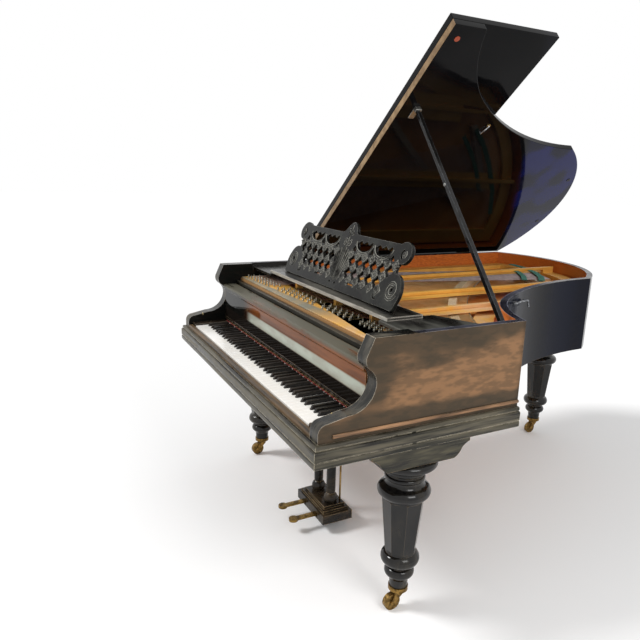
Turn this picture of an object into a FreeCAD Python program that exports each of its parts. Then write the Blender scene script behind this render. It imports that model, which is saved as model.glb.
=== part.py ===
import FreeCAD, Part
import math
import os
import Sketcher

# Grand piano of about two metres, lid up on its prop.
# +X points to the treble side, +Y from the keyboard to the tail, +Z up; the origin is on the floor.

Vector = FreeCAD.Vector
doc = FreeCAD.newDocument("grand_piano")
sheet = doc.addObject("Spreadsheet::Sheet", "dims")
sheet_rows = []


class Size:
    """A size that carries its number and the sheet expression that gives it."""

    def __init__(self, value, text):
        self.value = float(value)
        self.text = text

    def __add__(self, other):
        other = as_size(other)
        return Size(self.value + other.value, f"({self.text} + {other.text})")

    def __radd__(self, other):
        return as_size(other) + self

    def __sub__(self, other):
        other = as_size(other)
        return Size(self.value - other.value, f"({self.text} - {other.text})")

    def __rsub__(self, other):
        return as_size(other) - self

    def __mul__(self, other):
        other = as_size(other)
        return Size(self.value * other.value, f"({self.text} * {other.text})")

    def __rmul__(self, other):
        return as_size(other) * self

    def __truediv__(self, other):
        other = as_size(other)
        return Size(self.value / other.value, f"({self.text} / {other.text})")

    def __neg__(self):
        return Size(-self.value, f"(-{self.text})")


def as_size(number):
    """Plain numbers join in sums of sizes as they are."""
    if isinstance(number, Size):
        return number
    return Size(number, f"({number})")


def sine(angle):
    """Sine of an angle in degrees."""
    return Size(math.sin(math.radians(angle.value)), f"sin({angle.text})")


def cosine(angle):
    """Cosine of an angle in degrees."""
    return Size(math.cos(math.radians(angle.value)), f"cos({angle.text})")


def size(name, value):
    """One driving dimension: a sheet cell with the name as its alias."""
    sheet_rows.append(name)
    cell = f"B{len(sheet_rows)}"
    sheet.set(f"A{len(sheet_rows)}", name)
    sheet.set(cell, str(value))
    sheet.setAlias(cell, name)
    return Size(value, f"dims.{name}")


# Clearances
glue_gap = size("glue_gap", 0.2)
seat_gap = size("seat_gap", 0.3)
running_fit = size("running_fit", 0.06)

# Case, as wide as its keyboard needs
NATURALS = 52
key_pitch = size("key_pitch", 23.5)
key_margin = size("key_margin", 49)
arm_wall = size("arm_wall", 52)
rim_wall = size("rim_wall", 26)
panel_bottom = size("panel_bottom", 640)
case_height = size("case_height", 337)
shoulder_back = size("shoulder_back", 745)
tail_reach = size("tail_reach", 1239)
corner_x = size("corner_x", 188)
tail_centre_in = size("tail_centre_in", 319)
arm_joint = size("arm_joint", 330)
lid_overhang = size("lid_overhang", 6)
keyboard_half = key_pitch * (NATURALS / 2)
arm_inner_half = keyboard_half + key_margin
case_half = arm_inner_half + arm_wall
inside_half = arm_inner_half - glue_gap
bay_half = case_half - rim_wall - glue_gap
case_length = shoulder_back + tail_reach
front = -(case_length + lid_overhang) / 2
rim_top = panel_bottom + case_height
tail_centre_x = tail_centre_in - case_half
tail_radius = (corner_x - tail_centre_x) * 1.1704
bent_reach = tail_reach - tail_radius * 0.4804
waist_bend = tail_reach * 0.9685
bend_joint_x = corner_x + (case_half - corner_x) * 0.435

# Base moulding and beads
moulding_out = size("moulding_out", 18)
moulding_drop = size("moulding_drop", 17)
moulding_height = size("moulding_height", 67)
moulding_cap = size("moulding_cap", 27)
moulding_round = size("moulding_round", 10)
bead_rise = size("bead_rise", 11)
bead_height = size("bead_height", 12)
bead_out = size("bead_out", 9)
bead_start = size("bead_start", 62)
moulding_bottom = panel_bottom - moulding_drop
moulding_top = moulding_bottom + moulding_height
bead_bottom = moulding_top + bead_rise

# Keyboard and key slip
bed_thickness = size("bed_thickness", 32)
bed_margin = size("bed_margin", 20)
slip_thickness = size("slip_thickness", 18)
slip_drop = size("slip_drop", 4)
slip_round = size("slip_round", 7)
slip_to_keys = size("slip_to_keys", 2)
key_lift = size("key_lift", 16)
key_thickness = size("key_thickness", 22)
key_length = size("key_length", 462)
key_show = size("key_show", 148)
key_head = size("key_head", 50)
key_gap = size("key_gap", 0.8)
sharp_width = size("sharp_width", 10.6)
sharp_rise = size("sharp_rise", 12)
sharp_slope = size("sharp_slope", 7)
block_gap = size("block_gap", 4.5)
block_rise = size("block_rise", 6)
frame_rail = size("frame_rail", 5)
rail_width = size("rail_width", 18)
slip_back = moulding_out + slip_thickness
key_front = slip_back + slip_to_keys
key_back = key_front + key_length
sharp_back = key_front + key_show
balance_back = key_front + key_length * 0.49134
bed_top = panel_bottom + bed_thickness
bed_back = key_back + bed_margin
key_bottom = bed_top + key_lift
key_top = key_bottom + key_thickness
slip_top = key_top - slip_drop
block_inner = keyboard_half + block_gap
block_back = sharp_back + 4
block_top = key_top + block_rise

# Fallboard and the rail behind it
fall_side_gap = size("fall_side_gap", 1.8)
fall_gap = size("fall_gap", 8)
fall_drop = size("fall_drop", 91)
fall_thickness = size("fall_thickness", 20)
fall_lip = size("fall_lip", 9)
fall_rail_depth = size("fall_rail_depth", 60)
fall_rail_height = size("fall_rail_height", 28)
fall_round = size("fall_round", 8)
fall_pin_radius = size("fall_pin_radius", 4)
fall_pin_depth = size("fall_pin_depth", 9)
fall_pivot_in = size("fall_pivot_in", 2)
fall_pivot_up = size("fall_pivot_up", 8)
rail_gap = size("rail_gap", 5)
rail_thickness = size("rail_thickness", 20)
rail_rise = size("rail_rise", 16)
rail_height = size("rail_height", 52)
fall_half = inside_half - fall_side_gap
fall_face = sharp_back + fall_gap
fall_bottom = key_top + sharp_rise
fall_top = rim_top - fall_drop
rail_front = fall_face - fall_lip + fall_rail_depth + rail_gap
rail_back = rail_front + rail_thickness
rail_top = fall_top + rail_rise

# Soundboard and what holds it
inner_rim_wall = size("inner_rim_wall", 60)
inner_rim_rise = size("inner_rim_rise", 50)
board_drop = size("board_drop", 92)
board_thickness = size("board_thickness", 8)
belly_depth = size("belly_depth", 44)
beam_width = size("beam_width", 70)
beam_height = size("beam_height", 80)
beam_pitch = size("beam_pitch", 300)
rib_width = size("rib_width", 24)
rib_height = size("rib_height", 20)
bridge_width = size("bridge_width", 34)
bridge_height = size("bridge_height", 28.7)
inner_rim_bottom = panel_bottom + inner_rim_rise
board_bottom = rim_top - board_drop
board_top = board_bottom + board_thickness
belly_front = bed_back
bridge_start_x = keyboard_half - 61
bridge_start = shoulder_back - bent_reach * 0.115
bridge_end_x = -case_half + 282
bridge_end = shoulder_back + bent_reach * 0.935

# Strings, pins, plate and dampers
treble_wire = size("treble_wire", 1.6)
bass_wire = size("bass_wire", 3)
wire_gap = size("wire_gap", 2.9)
string_pitch = size("string_pitch", 13)
high_string_pitch = size("high_string_pitch", 9.6)
bass_string_pitch = size("bass_string_pitch", 10.8)
pin_block_depth = size("pin_block_depth", 158)
pin_block_height = size("pin_block_height", 40)
web_gap = size("web_gap", 4)
web_thickness = size("web_thickness", 6)
pin_side = size("pin_side", 5)
pin_height = size("pin_height", 20)
pin_row = size("pin_row", 22)
plate_margin = size("plate_margin", 14)
plate_flange = size("plate_flange", 74)
plate_thickness = size("plate_thickness", 22)
bar_gap = size("bar_gap", 2.5)
bar_width = size("bar_width", 20)
bar_height = size("bar_height", 14)
damper_length = size("damper_length", 30)
damper_width = size("damper_width", 8)
damper_height = size("damper_height", 11)
string_height = board_top + bridge_height + seat_gap
bass_string_height = string_height + treble_wire + wire_gap
web_top = string_height - web_gap
pin_block_top = web_top - web_thickness
pin_block_bottom = pin_block_top - pin_block_height
pin_block_front = rail_back + 2
pin_block_back = pin_block_front + pin_block_depth
nut_back = pin_block_back + 10
first_pin_row = pin_block_front + pin_row
bar_bottom = bass_string_height + bass_wire + bar_gap
damper_front = belly_front + 25

# Action
hammer_drop = size("hammer_drop", 57)
hammer_reach = size("hammer_reach", 134)
hammer_head = size("hammer_head", 22)
hammer_crown = size("hammer_crown", 60)
hammer_tail = size("hammer_tail", 20)
hammer_width = size("hammer_width", 8)
shank_thickness = size("shank_thickness", 5)
action_end = size("action_end", 12)
hammer_pivot_height = pin_block_bottom - hammer_drop
hammer_pivot_back = pin_block_back - 80
action_half = keyboard_half + action_end + 9

# Lid, flap and prop
lid_angle = size("lid_angle", 38.7)
lid_gap = size("lid_gap", 2)
lid_thickness = size("lid_thickness", 25)
fold_ahead = size("fold_ahead", 125)
flap_depth = size("flap_depth", 470)
knuckle_radius = size("knuckle_radius", 4)
pin_radius = size("pin_radius", 2)
hinge_length = size("hinge_length", 90)
leaf_thickness = size("leaf_thickness", 2.4)
leaf_width = size("leaf_width", 40)
prop_in = size("prop_in", 14)
prop_ahead = size("prop_ahead", 60)
prop_drop = size("prop_drop", 17)
prop_depth = size("prop_depth", 18)
prop_width = size("prop_width", 16)
prop_tip_depth = size("prop_tip_depth", 12)
prop_pin_radius = size("prop_pin_radius", 4)
cup_thickness = size("cup_thickness", 4)
cup_length = size("cup_length", 60)
buffer_radius = size("buffer_radius", 10)
lid_fold = shoulder_back - fold_ahead
hinge_x = -case_half - knuckle_radius - seat_gap * 2
hinge_z = rim_top + lid_gap
prop_x = bay_half - prop_in
prop_back = shoulder_back - prop_ahead
prop_z = rim_top - prop_drop

# Music desk
wing_inner = size("wing_inner", 470)
wing_front = size("wing_front", 345)
wing_depth = size("wing_depth", 310)
wing_cut = size("wing_cut", 95)
wing_drop = size("wing_drop", 31)
wing_thickness = size("wing_thickness", 12)
shelf_lap = size("shelf_lap", 30)
shelf_inset = size("shelf_inset", 13)
shelf_depth = size("shelf_depth", 139)
shelf_thickness = size("shelf_thickness", 12)
desk_lean = size("desk_lean", 23.3)
desk_setback = size("desk_setback", 60)
desk_thickness = size("desk_thickness", 14)
desk_base_half = size("desk_base_half", 448)
desk_ear_half = size("desk_ear_half", 431)
desk_height = size("desk_height", 226)
desk_crest = size("desk_crest", 46)
strut_x = size("strut_x", 330)
strut_width = size("strut_width", 10)
strut_thickness = size("strut_thickness", 8)
strut_setback = size("strut_setback", 8)
strut_angle = size("strut_angle", 28.3)
wing_back = wing_front + wing_depth
wing_short = wing_back - wing_cut
wing_bottom = rim_top - wing_drop
shelf_half = wing_inner + shelf_lap
shelf_front = wing_front + shelf_inset
shelf_back = shelf_front + shelf_depth
desk_foot = shelf_front + desk_setback
strut_foot = shelf_back + strut_setback

# Legs and casters
bracket_drop = size("bracket_drop", 63)
bracket_width = size("bracket_width", 194)
bracket_out = size("bracket_out", 12)
bracket_half = size("bracket_half", 122)
bracket_flare = size("bracket_flare", 58)
leg_in = size("leg_in", 76)
leg_back = size("leg_back", 368)
tail_leg_ahead = size("tail_leg_ahead", 112)
cushion_radius = size("cushion_radius", 101)
neck_radius = size("neck_radius", 58)
collar_radius = size("collar_radius", 80)
turning_height = size("turning_height", 146)
shaft_top_flat = size("shaft_top_flat", 65)
shaft_bottom_flat = size("shaft_bottom_flat", 48)
ankle_radius = size("ankle_radius", 62)
foot_radius = size("foot_radius", 47)
leg_foot_radius = size("leg_foot_radius", 30)
foot_height = size("foot_height", 147)
ferrule_wall = size("ferrule_wall", 3)
ferrule_floor = size("ferrule_floor", 5.5)
ferrule_lap = size("ferrule_lap", 9)
wheel_radius = size("wheel_radius", 29)
wheel_width = size("wheel_width", 18)
wheel_trail = size("wheel_trail", 24)
wheel_clear = size("wheel_clear", 8)
axle_radius = size("axle_radius", 4)
stem_radius = size("stem_radius", 5)
stem_length = size("stem_length", 10)
swivel_gap = size("swivel_gap", 0.5)
fork_cheek = size("fork_cheek", 5)
fork_gap = size("fork_gap", 0.6)
fork_crown_thickness = size("fork_crown_thickness", 6)
fork_crown_radius = size("fork_crown_radius", 20)
fork_eye = size("fork_eye", 9)
bracket_bottom = moulding_bottom - bracket_drop
bracket_inner = case_half + bracket_out - bracket_width
leg_x = case_half - leg_in
tail_leg_x = tail_centre_x + 139
tail_leg_back = case_length - tail_leg_ahead
shaft_top = bracket_bottom - turning_height
crown_top = wheel_radius * 2 + wheel_clear + fork_crown_thickness
ferrule_bottom = crown_top + swivel_gap
leg_foot = ferrule_bottom + ferrule_floor
ferrule_top = leg_foot + ferrule_lap
shaft_bottom = leg_foot + foot_height

# Lyre and pedals
lyre_x = size("lyre_x", 25)
lyre_half = size("lyre_half", 123)
lyre_front = size("lyre_front", 330)
lyre_depth = size("lyre_depth", 132)
lyre_bottom = size("lyre_bottom", 35)
lyre_height = size("lyre_height", 38)
lyre_wall = size("lyre_wall", 8)
lyre_step = size("lyre_step", 11)
lyre_step_in = size("lyre_step_in", 16)
lyre_block = size("lyre_block", 28)
post_spread = size("post_spread", 57)
post_radius = size("post_radius", 19)
post_bulb = size("post_bulb", 26)
pedal_spread = size("pedal_spread", 55)
pedal_out = size("pedal_out", 118)
pedal_width = size("pedal_width", 20)
pedal_thickness = size("pedal_thickness", 10)
pedal_pad = size("pedal_pad", 19)
pedal_tail = size("pedal_tail", 12)
rod_radius = size("rod_radius", 4)
lyre_back = lyre_front + lyre_depth
post_back = lyre_front + lyre_depth / 2
block_bottom = panel_bottom - lyre_block
pedal_pivot_back = post_back + 4
pedal_height = lyre_bottom + lyre_height / 2 - 2
pedal_tip = lyre_front - pedal_out
pedal_end = lyre_back - pedal_tail
rod_back = pedal_end - 10
rod_top = panel_bottom - 8
doc.recompute()


def bind(item, prop, value):
    """Tie one property to the sheet, unless the value is a plain number."""
    value = as_size(value)
    if "dims." in value.text:
        item.setExpression(prop, value.text)


def place(item, x=0, y=0, z=0, axis=Vector(0, 0, 1), angle=0):
    """Set where a piece sits and tie that place to the sheet."""
    spot = Vector(as_size(x).value, as_size(y).value, as_size(z).value)
    turn = FreeCAD.Rotation(axis, as_size(angle).value)
    item.Placement = FreeCAD.Placement(spot, turn)
    for letter, value in (("x", x), ("y", y), ("z", z)):
        bind(item, "Placement.Base." + letter, value)
    bind(item, "Placement.Rotation.Angle", angle)
    return item


def box(name, x_pair, y_pair, z_pair):
    """A square-edged block between two corners."""
    item = doc.addObject("Part::Box", name)
    for prop, pair in (("Length", x_pair), ("Width", y_pair), ("Height", z_pair)):
        span = as_size(pair[1]) - pair[0]
        setattr(item, prop, span.value)
        bind(item, prop, span)
    return place(item, x_pair[0], y_pair[0], z_pair[0])


def rod(name, centre, radius, length, along="z"):
    """A round bar that starts at centre and runs along one axis."""
    turns = {"z": (Vector(0, 0, 1), 0), "y": (Vector(1, 0, 0), -90), "x": (Vector(0, 1, 0), 90)}
    item = doc.addObject("Part::Cylinder", name)
    item.Radius = as_size(radius).value
    item.Height = as_size(length).value
    bind(item, "Radius", radius)
    bind(item, "Height", length)
    return place(item, *centre, *turns[along])


def cut(name, base, *tools):
    """The base with each tool taken away."""
    item = doc.addObject("Part::Cut", name)
    item.Base = base
    item.Tool = tools[0] if len(tools) == 1 else fuse(name + "_tools", *tools)
    return item


def fuse(name, *pieces):
    """Several shapes made one."""
    item = doc.addObject("Part::MultiFuse", name)
    item.Shapes = list(pieces)
    return item


def common(name, *pieces):
    """The space that all the shapes share."""
    item = doc.addObject("Part::MultiCommon", name)
    item.Shapes = list(pieces)
    return item


def group(name, *pieces):
    """Separate solids that share one node."""
    item = doc.addObject("Part::Compound", name)
    item.Links = list(pieces)
    return item


def trace(sketch, points):
    """Draw a closed outline; a point's third value is the bow of the arc that ends there.

    The bow is the arc's radius over its chord: positive turns left on the way round, negative right.
    """
    corners = [Vector(as_size(p[0]).value, as_size(p[1]).value, 0) for p in points]
    ends = []
    for index, start in enumerate(corners):
        after = (index + 1) % len(points)
        stop = corners[after]
        bow = points[after][2] if len(points[after]) > 2 else None
        if bow is None:
            sketch.addGeometry(Part.LineSegment(start, stop))
            ends.append((1, 2))
            continue
        radius = distance(points[index], points[after]) * abs(bow)
        chord = stop - start
        side = Vector(-chord.y, chord.x, 0).normalize()
        rise = math.sqrt(radius.value**2 - chord.Length**2 / 4)
        centre = (start + stop) / 2 + side * math.copysign(rise, bow)
        low, high = (start, stop) if bow > 0 else (stop, start)
        first = math.atan2(low.y - centre.y, low.x - centre.x)
        last = math.atan2(high.y - centre.y, high.x - centre.x)
        circle = Part.Circle(centre, Vector(0, 0, 1), radius.value)
        sketch.addGeometry(Part.ArcOfCircle(circle, first, last if last > first else last + 2 * math.pi))
        ends.append((1, 2) if bow > 0 else (2, 1))
        mark = sketch.addConstraint(Sketcher.Constraint("Radius", index, radius.value))
        pin_to_sheet(sketch, mark, f"radius_{index}", radius)
    for index in range(len(points)):
        after = (index + 1) % len(points)
        sketch.addConstraint(Sketcher.Constraint("Coincident", index, ends[index][1], after, ends[after][0]))
        for kind, value in (("DistanceX", points[index][0]), ("DistanceY", points[index][1])):
            value = as_size(value)
            mark = sketch.addConstraint(Sketcher.Constraint(kind, -1, 1, index, ends[index][0], value.value))
            pin_to_sheet(sketch, mark, f"{kind}_{index}", value)
    return sketch


def distance(start, stop):
    """Straight distance between two points of an outline."""
    across = as_size(stop[0]) - start[0]
    along = as_size(stop[1]) - start[1]
    return Size(math.hypot(across.value, along.value), f"sqrt({across.text}^2 + {along.text}^2)")


def pin_to_sheet(sketch, mark, name, value):
    """Name one constraint and tie it to the sheet."""
    sketch.renameConstraint(mark, name)
    bind(sketch, "Constraints." + name, value)


def body_sketch(body, name, plane, points):
    """A closed outline on one of the body's own planes."""
    sketch = body.newObject("Sketcher::SketchObject", name)
    feature = [item for item in body.Origin.OriginFeatures if item.Role == plane][0]
    sketch.AttachmentSupport = [(feature, "")]
    sketch.MapMode = "FlatFace"
    return trace(sketch, points)


def bar(name, plane, points, length, x=0, y=0, z=0, axis=Vector(0, 0, 1), angle=0):
    """A profile drawn on one plane and padded along that plane's positive axis."""
    body = doc.addObject("PartDesign::Body", name)
    sketch = body_sketch(body, name + "_outline", plane, points)
    pad = body.newObject("PartDesign::Pad", name + "_pad")
    pad.Profile = sketch
    pad.Length = as_size(length).value
    bind(pad, "Length", length)
    pad.Reversed = plane == "XZ_Plane"
    return place(body, x, y, z, axis, angle)


def turned(name, points, x, y, z=0):
    """A lathe-turned piece: (radius, height) points spun about the upright axis."""
    body = doc.addObject("PartDesign::Body", name)
    sketch = body_sketch(body, name + "_outline", "XZ_Plane", points)
    spin = body.newObject("PartDesign::Revolution", name + "_spin")
    spin.Profile = sketch
    spin.ReferenceAxis = (sketch, ["V_Axis"])
    spin.Angle = 360
    return place(body, x, y, z)


# Case plan: spine, tail, bentside in two bends, straight treble side, open front
def draw_plan():
    """The outer outline of the rim, which every part of the case follows."""
    half = case_half.value
    front_y = (front + arm_joint).value
    tail_centre_y = (front + case_length - tail_radius).value
    shoulder_y = (front + shoulder_back).value

    def tail_at(x):
        return tail_centre_y + math.sqrt(tail_radius.value**2 - (x - tail_centre_x.value) ** 2)

    spine_end = Vector(-half, tail_at(-half), 0)
    corner = Vector(corner_x.value, tail_at(corner_x.value), 0)
    tail_centre = Vector(tail_centre_x.value, tail_centre_y, 0)
    shoulder = Vector(half, shoulder_y, 0)
    waist_centre = corner + Vector(waist_bend.value, 0, 0)
    turn = math.pi + math.acos((waist_centre.x - bend_joint_x.value) / waist_bend.value)
    inward = Vector(-math.cos(turn), -math.sin(turn), 0)
    joint = waist_centre - inward * waist_bend.value
    to_shoulder = shoulder - joint
    shoulder_bend = to_shoulder.Length**2 / (2 * to_shoulder.dot(inward))
    bend_centre = joint + inward * shoulder_bend
    bend_end = math.atan2(shoulder.y - bend_centre.y, shoulder.x - bend_centre.x) % (2 * math.pi)
    up = Vector(0, 0, 1)
    first = math.atan2(corner.y - tail_centre_y, corner.x - tail_centre.x)
    last = math.atan2(spine_end.y - tail_centre_y, spine_end.x - tail_centre.x)
    plan = doc.addObject("Sketcher::SketchObject", "case_plan")
    plan.addGeometry(Part.LineSegment(Vector(-half, front_y, 0), spine_end))
    plan.addGeometry(Part.ArcOfCircle(Part.Circle(tail_centre, up, tail_radius.value), first, last))
    plan.addGeometry(Part.ArcOfCircle(Part.Circle(waist_centre, up, waist_bend.value), math.pi, turn))
    plan.addGeometry(Part.ArcOfCircle(Part.Circle(bend_centre, up, shoulder_bend), turn, bend_end))
    plan.addGeometry(Part.LineSegment(shoulder, Vector(half, front_y, 0)))
    plan.addGeometry(Part.LineSegment(Vector(half, front_y, 0), Vector(-half, front_y, 0)))
    for link in ((0, 2, 1, 2), (1, 1, 2, 1), (3, 2, 4, 1), (4, 2, 5, 1), (5, 2, 0, 1)):
        plan.addConstraint(Sketcher.Constraint("Coincident", *link))
    plan.addConstraint(Sketcher.Constraint("Tangent", 2, 2, 3, 1))
    plan.addConstraint(Sketcher.Constraint("Horizontal", 2, 3, 2, 1))
    plan.addConstraint(Sketcher.Constraint("Vertical", 0))
    plan.addConstraint(Sketcher.Constraint("Vertical", 4))
    plan.addConstraint(Sketcher.Constraint("Horizontal", 5))
    for edge, radius in ((1, tail_radius), (2, waist_bend)):
        mark = plan.addConstraint(Sketcher.Constraint("Radius", edge, radius.value))
        pin_to_sheet(plan, mark, f"radius_{edge}", radius)
    pins = (
        ("DistanceX", 1, 3, tail_centre_x),
        ("DistanceY", 1, 3, front + case_length - tail_radius),
        ("DistanceX", 0, 1, -case_half),
        ("DistanceY", 0, 1, front + arm_joint),
        ("DistanceX", 1, 1, corner_x),
        ("DistanceX", 2, 2, bend_joint_x),
        ("DistanceX", 4, 1, case_half),
        ("DistanceY", 4, 1, front + shoulder_back),
    )
    for kind, edge, end, value in pins:
        mark = plan.addConstraint(Sketcher.Constraint(kind, -1, 1, edge, end, value.value))
        pin_to_sheet(plan, mark, f"{kind}_{edge}_{end}", value)
    return plan


case_plan = draw_plan()
doc.recompute()


def slab(name, grow, bottom, height):
    """A flat piece with the case's outline, grown outwards or drawn in."""
    grow = as_size(grow)
    base = case_plan
    if grow.value != 0:
        base = doc.addObject("Part::Offset2D", name + "_outline")
        base.Source = case_plan
        base.Value = grow.value
        bind(base, "Value", grow)
    item = doc.addObject("Part::Extrusion", name)
    item.Base = base
    item.DirMode = "Custom"
    item.Dir = Vector(0, 0, 1)
    item.Solid = True
    item.LengthFwd = as_size(height).value
    bind(item, "LengthFwd", height)
    return place(item, 0, 0, bottom)


def wall(name, outer, inner, bottom, height, open_to):
    """A ring between two outlines, with its front cut open as far back as open_to."""
    hollow = slab(name + "_hollow", inner, bottom, height)
    whole = slab(name + "_whole", outer, bottom, height)
    side = case_half + inner
    mouth = box(name + "_mouth", (-side, side), (front, front + open_to), (bottom, bottom + height))
    return cut(name, whole, hollow, mouth)


# Outer rim, its inner ledge and the beams below the soundboard
outer_rim = wall("outer_rim", 0, -rim_wall, panel_bottom, rim_top - panel_bottom, arm_joint + rim_wall + 1)
ledge_out = -(rim_wall + glue_gap)
ledge_in = ledge_out - inner_rim_wall
ledge_height = board_bottom - inner_rim_bottom
inner_rim_ring = wall("inner_rim_ring", ledge_out, ledge_in, inner_rim_bottom, ledge_height, belly_front)
ledge_front = box(
    "ledge_front",
    (-case_half, case_half),
    (front, front + belly_front),
    (inner_rim_bottom, board_bottom),
)
inner_rim = cut("inner_rim", inner_rim_ring, ledge_front)
beam_space = slab("beam_space", ledge_in - glue_gap, inner_rim_bottom, ledge_height)
belly_rail = box(
    "belly_rail",
    (-case_half, case_half),
    (front + belly_front, front + belly_front + belly_depth),
    (inner_rim_bottom, board_bottom),
)
beams = [belly_rail]
for index in range(3):
    beam_x = beam_pitch * (index - 0.43) - case_half * 0.42277
    beams.append(
        box(
            f"beam_{index}",
            (beam_x - beam_width / 2, beam_x + beam_width / 2),
            (front + belly_front, front + case_length),
            (inner_rim_bottom, inner_rim_bottom + beam_height),
        )
    )
frame_beams = common("frame_beams", beam_space, fuse("beam_set", *beams))

# Soundboard, ribs and bridges
board_outline = slab("board_outline", ledge_out - glue_gap, board_bottom, board_thickness)
board_front = box(
    "board_front",
    (-case_half, case_half),
    (front, front + belly_front),
    (board_bottom, board_bottom + board_thickness),
)
soundboard = cut("soundboard", board_outline, board_front)
rib_space = slab("rib_space", ledge_in - glue_gap, board_bottom - rib_height, rib_height)
rib_blanks = []
for index in range(8):
    rib_y = front + belly_front + belly_depth + 70 + 150 * index
    rib_blanks.append(
        box(
            f"rib_{index}",
            (-case_half, case_half),
            (rib_y, rib_y + rib_width),
            (board_bottom - rib_height, board_bottom),
        )
    )
soundboard_ribs = common("soundboard_ribs", rib_space, fuse("rib_set", *rib_blanks))
bridge_step = bridge_width * 0.7
bass_bridge_low = shoulder_back + bent_reach * 0.89
bass_bridge_high = shoulder_back + bent_reach * 1.066
treble_bridge = bar(
    "treble_bridge",
    "XY_Plane",
    [
        (bridge_start_x, front + bridge_start),
        (bridge_end_x, front + bridge_end, -1.958),
        (bridge_end_x - bridge_step, front + bridge_end - bridge_step),
        (bridge_start_x - bridge_step, front + bridge_start - bridge_step, 1.983),
    ],
    string_height - seat_gap - board_top,
    z=board_top,
)
bass_bridge = bar(
    "bass_bridge",
    "XY_Plane",
    [
        (bridge_end_x + 410, front + bass_bridge_low),
        (bridge_end_x + 410 + bridge_width * 0.4, front + bass_bridge_low + bridge_width),
        (bridge_end_x + 60 + bridge_width * 0.4, front + bass_bridge_high + bridge_width),
        (bridge_end_x + 60, front + bass_bridge_high),
    ],
    bass_string_height - seat_gap - board_top,
    z=board_top,
)
bridges = group("bridges", treble_bridge, bass_bridge)

# Iron plate: flange round the edge, web over the pin block, and three bars between them
flange_out = -(rim_wall + plate_margin)
flange_in = flange_out - plate_flange
flange_ring = wall("flange_ring", flange_out, flange_in, board_top, plate_thickness, belly_front + 1)
flange_front = box(
    "flange_front",
    (-case_half, case_half),
    (front, front + belly_front + 1),
    (board_top, board_top + plate_thickness),
)
flange = cut("flange", flange_ring, flange_front)
web = box(
    "web",
    (-inside_half + 5, inside_half - 5),
    (front + pin_block_front + 2, front + pin_block_back + 2),
    (pin_block_top, web_top),
)
leg_ring_height = bar_bottom - board_top - plate_thickness
bar_places = (-305, 60, 330)
bar_blanks = []
bar_feet = []
for index, bar_x in enumerate(bar_places):
    bar_sides = (bar_x - bar_width / 2, bar_x + bar_width / 2)
    bar_blanks.append(
        box(
            f"bar_{index}",
            bar_sides,
            (front + pin_block_back - 30, front + case_length),
            (bar_bottom, bar_bottom + bar_height),
        )
    )
    bar_feet.append(
        box(
            f"bar_toe_{index}",
            bar_sides,
            (front + pin_block_back - 30, front + pin_block_back),
            (web_top, bar_bottom),
        )
    )
    bar_blanks.append(
        box(
            f"bar_heel_{index}",
            bar_sides,
            (front + nut_back + 300, front + case_length),
            (board_top + plate_thickness, bar_bottom),
        )
    )
heel_ring = wall("heel_ring", flange_out, flange_in, board_top + plate_thickness, leg_ring_height, belly_front)
bar_space = slab("bar_space", flange_out, bar_bottom, bar_height)
bar_region = fuse("bar_region", bar_space, heel_ring)
plate_bars = common("plate_bars", bar_region, fuse("bar_set", *bar_blanks))
iron_plate = fuse("iron_plate", flange, web, plate_bars, *bar_feet)
pin_block = box(
    "pin_block",
    (-inside_half, inside_half),
    (front + pin_block_front, front + pin_block_back),
    (pin_block_bottom, pin_block_top),
)
doc.recompute()

# Strings, tuning pins and dampers: one of each for every note
NOTES = 88
DAMPED_NOTES = 66
BASS_NOTES = 24
SECTION_NOTES = (25, 18, 21)
section_pitches = (string_pitch, string_pitch, high_string_pitch)
treble_starts = []
for bar_x, count, pitch in zip(bar_places, SECTION_NOTES, section_pitches):
    first_x = bar_x + bar_width.value / 2 + 8
    treble_starts += [first_x + pitch.value * note for note in range(count)]


def bridge_y(x):
    """How far back the treble bridge lies at this x."""
    run = bridge_start_x.value - bridge_end_x.value
    share = (bridge_start_x.value - x) / run
    rise = (bridge_end - bridge_start).value
    return front.value + bridge_start.value + rise * share - 0.48 * rise * share * (1 - share)


def wire(x, start_y, end, thickness, height):
    """A string that runs straight from its pin to the nut and then slants to its hitch."""
    nut_y = front.value + nut_back.value
    left = [(x, start_y), (x, nut_y), (end[0], end[1])]
    right = [(spot_x + thickness, spot_y) for spot_x, spot_y in reversed(left)]
    points = [Vector(spot_x, spot_y, height) for spot_x, spot_y in left + right]
    face = Part.Face(Part.makePolygon(points + points[:1]))
    return face.extrude(Vector(0, 0, thickness))


def solid_group(name, solids):
    """Many like solids kept as one piece of the model."""
    item = doc.addObject("Part::Feature", name)
    item.Shape = Part.makeCompound(solids)
    return item


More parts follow.
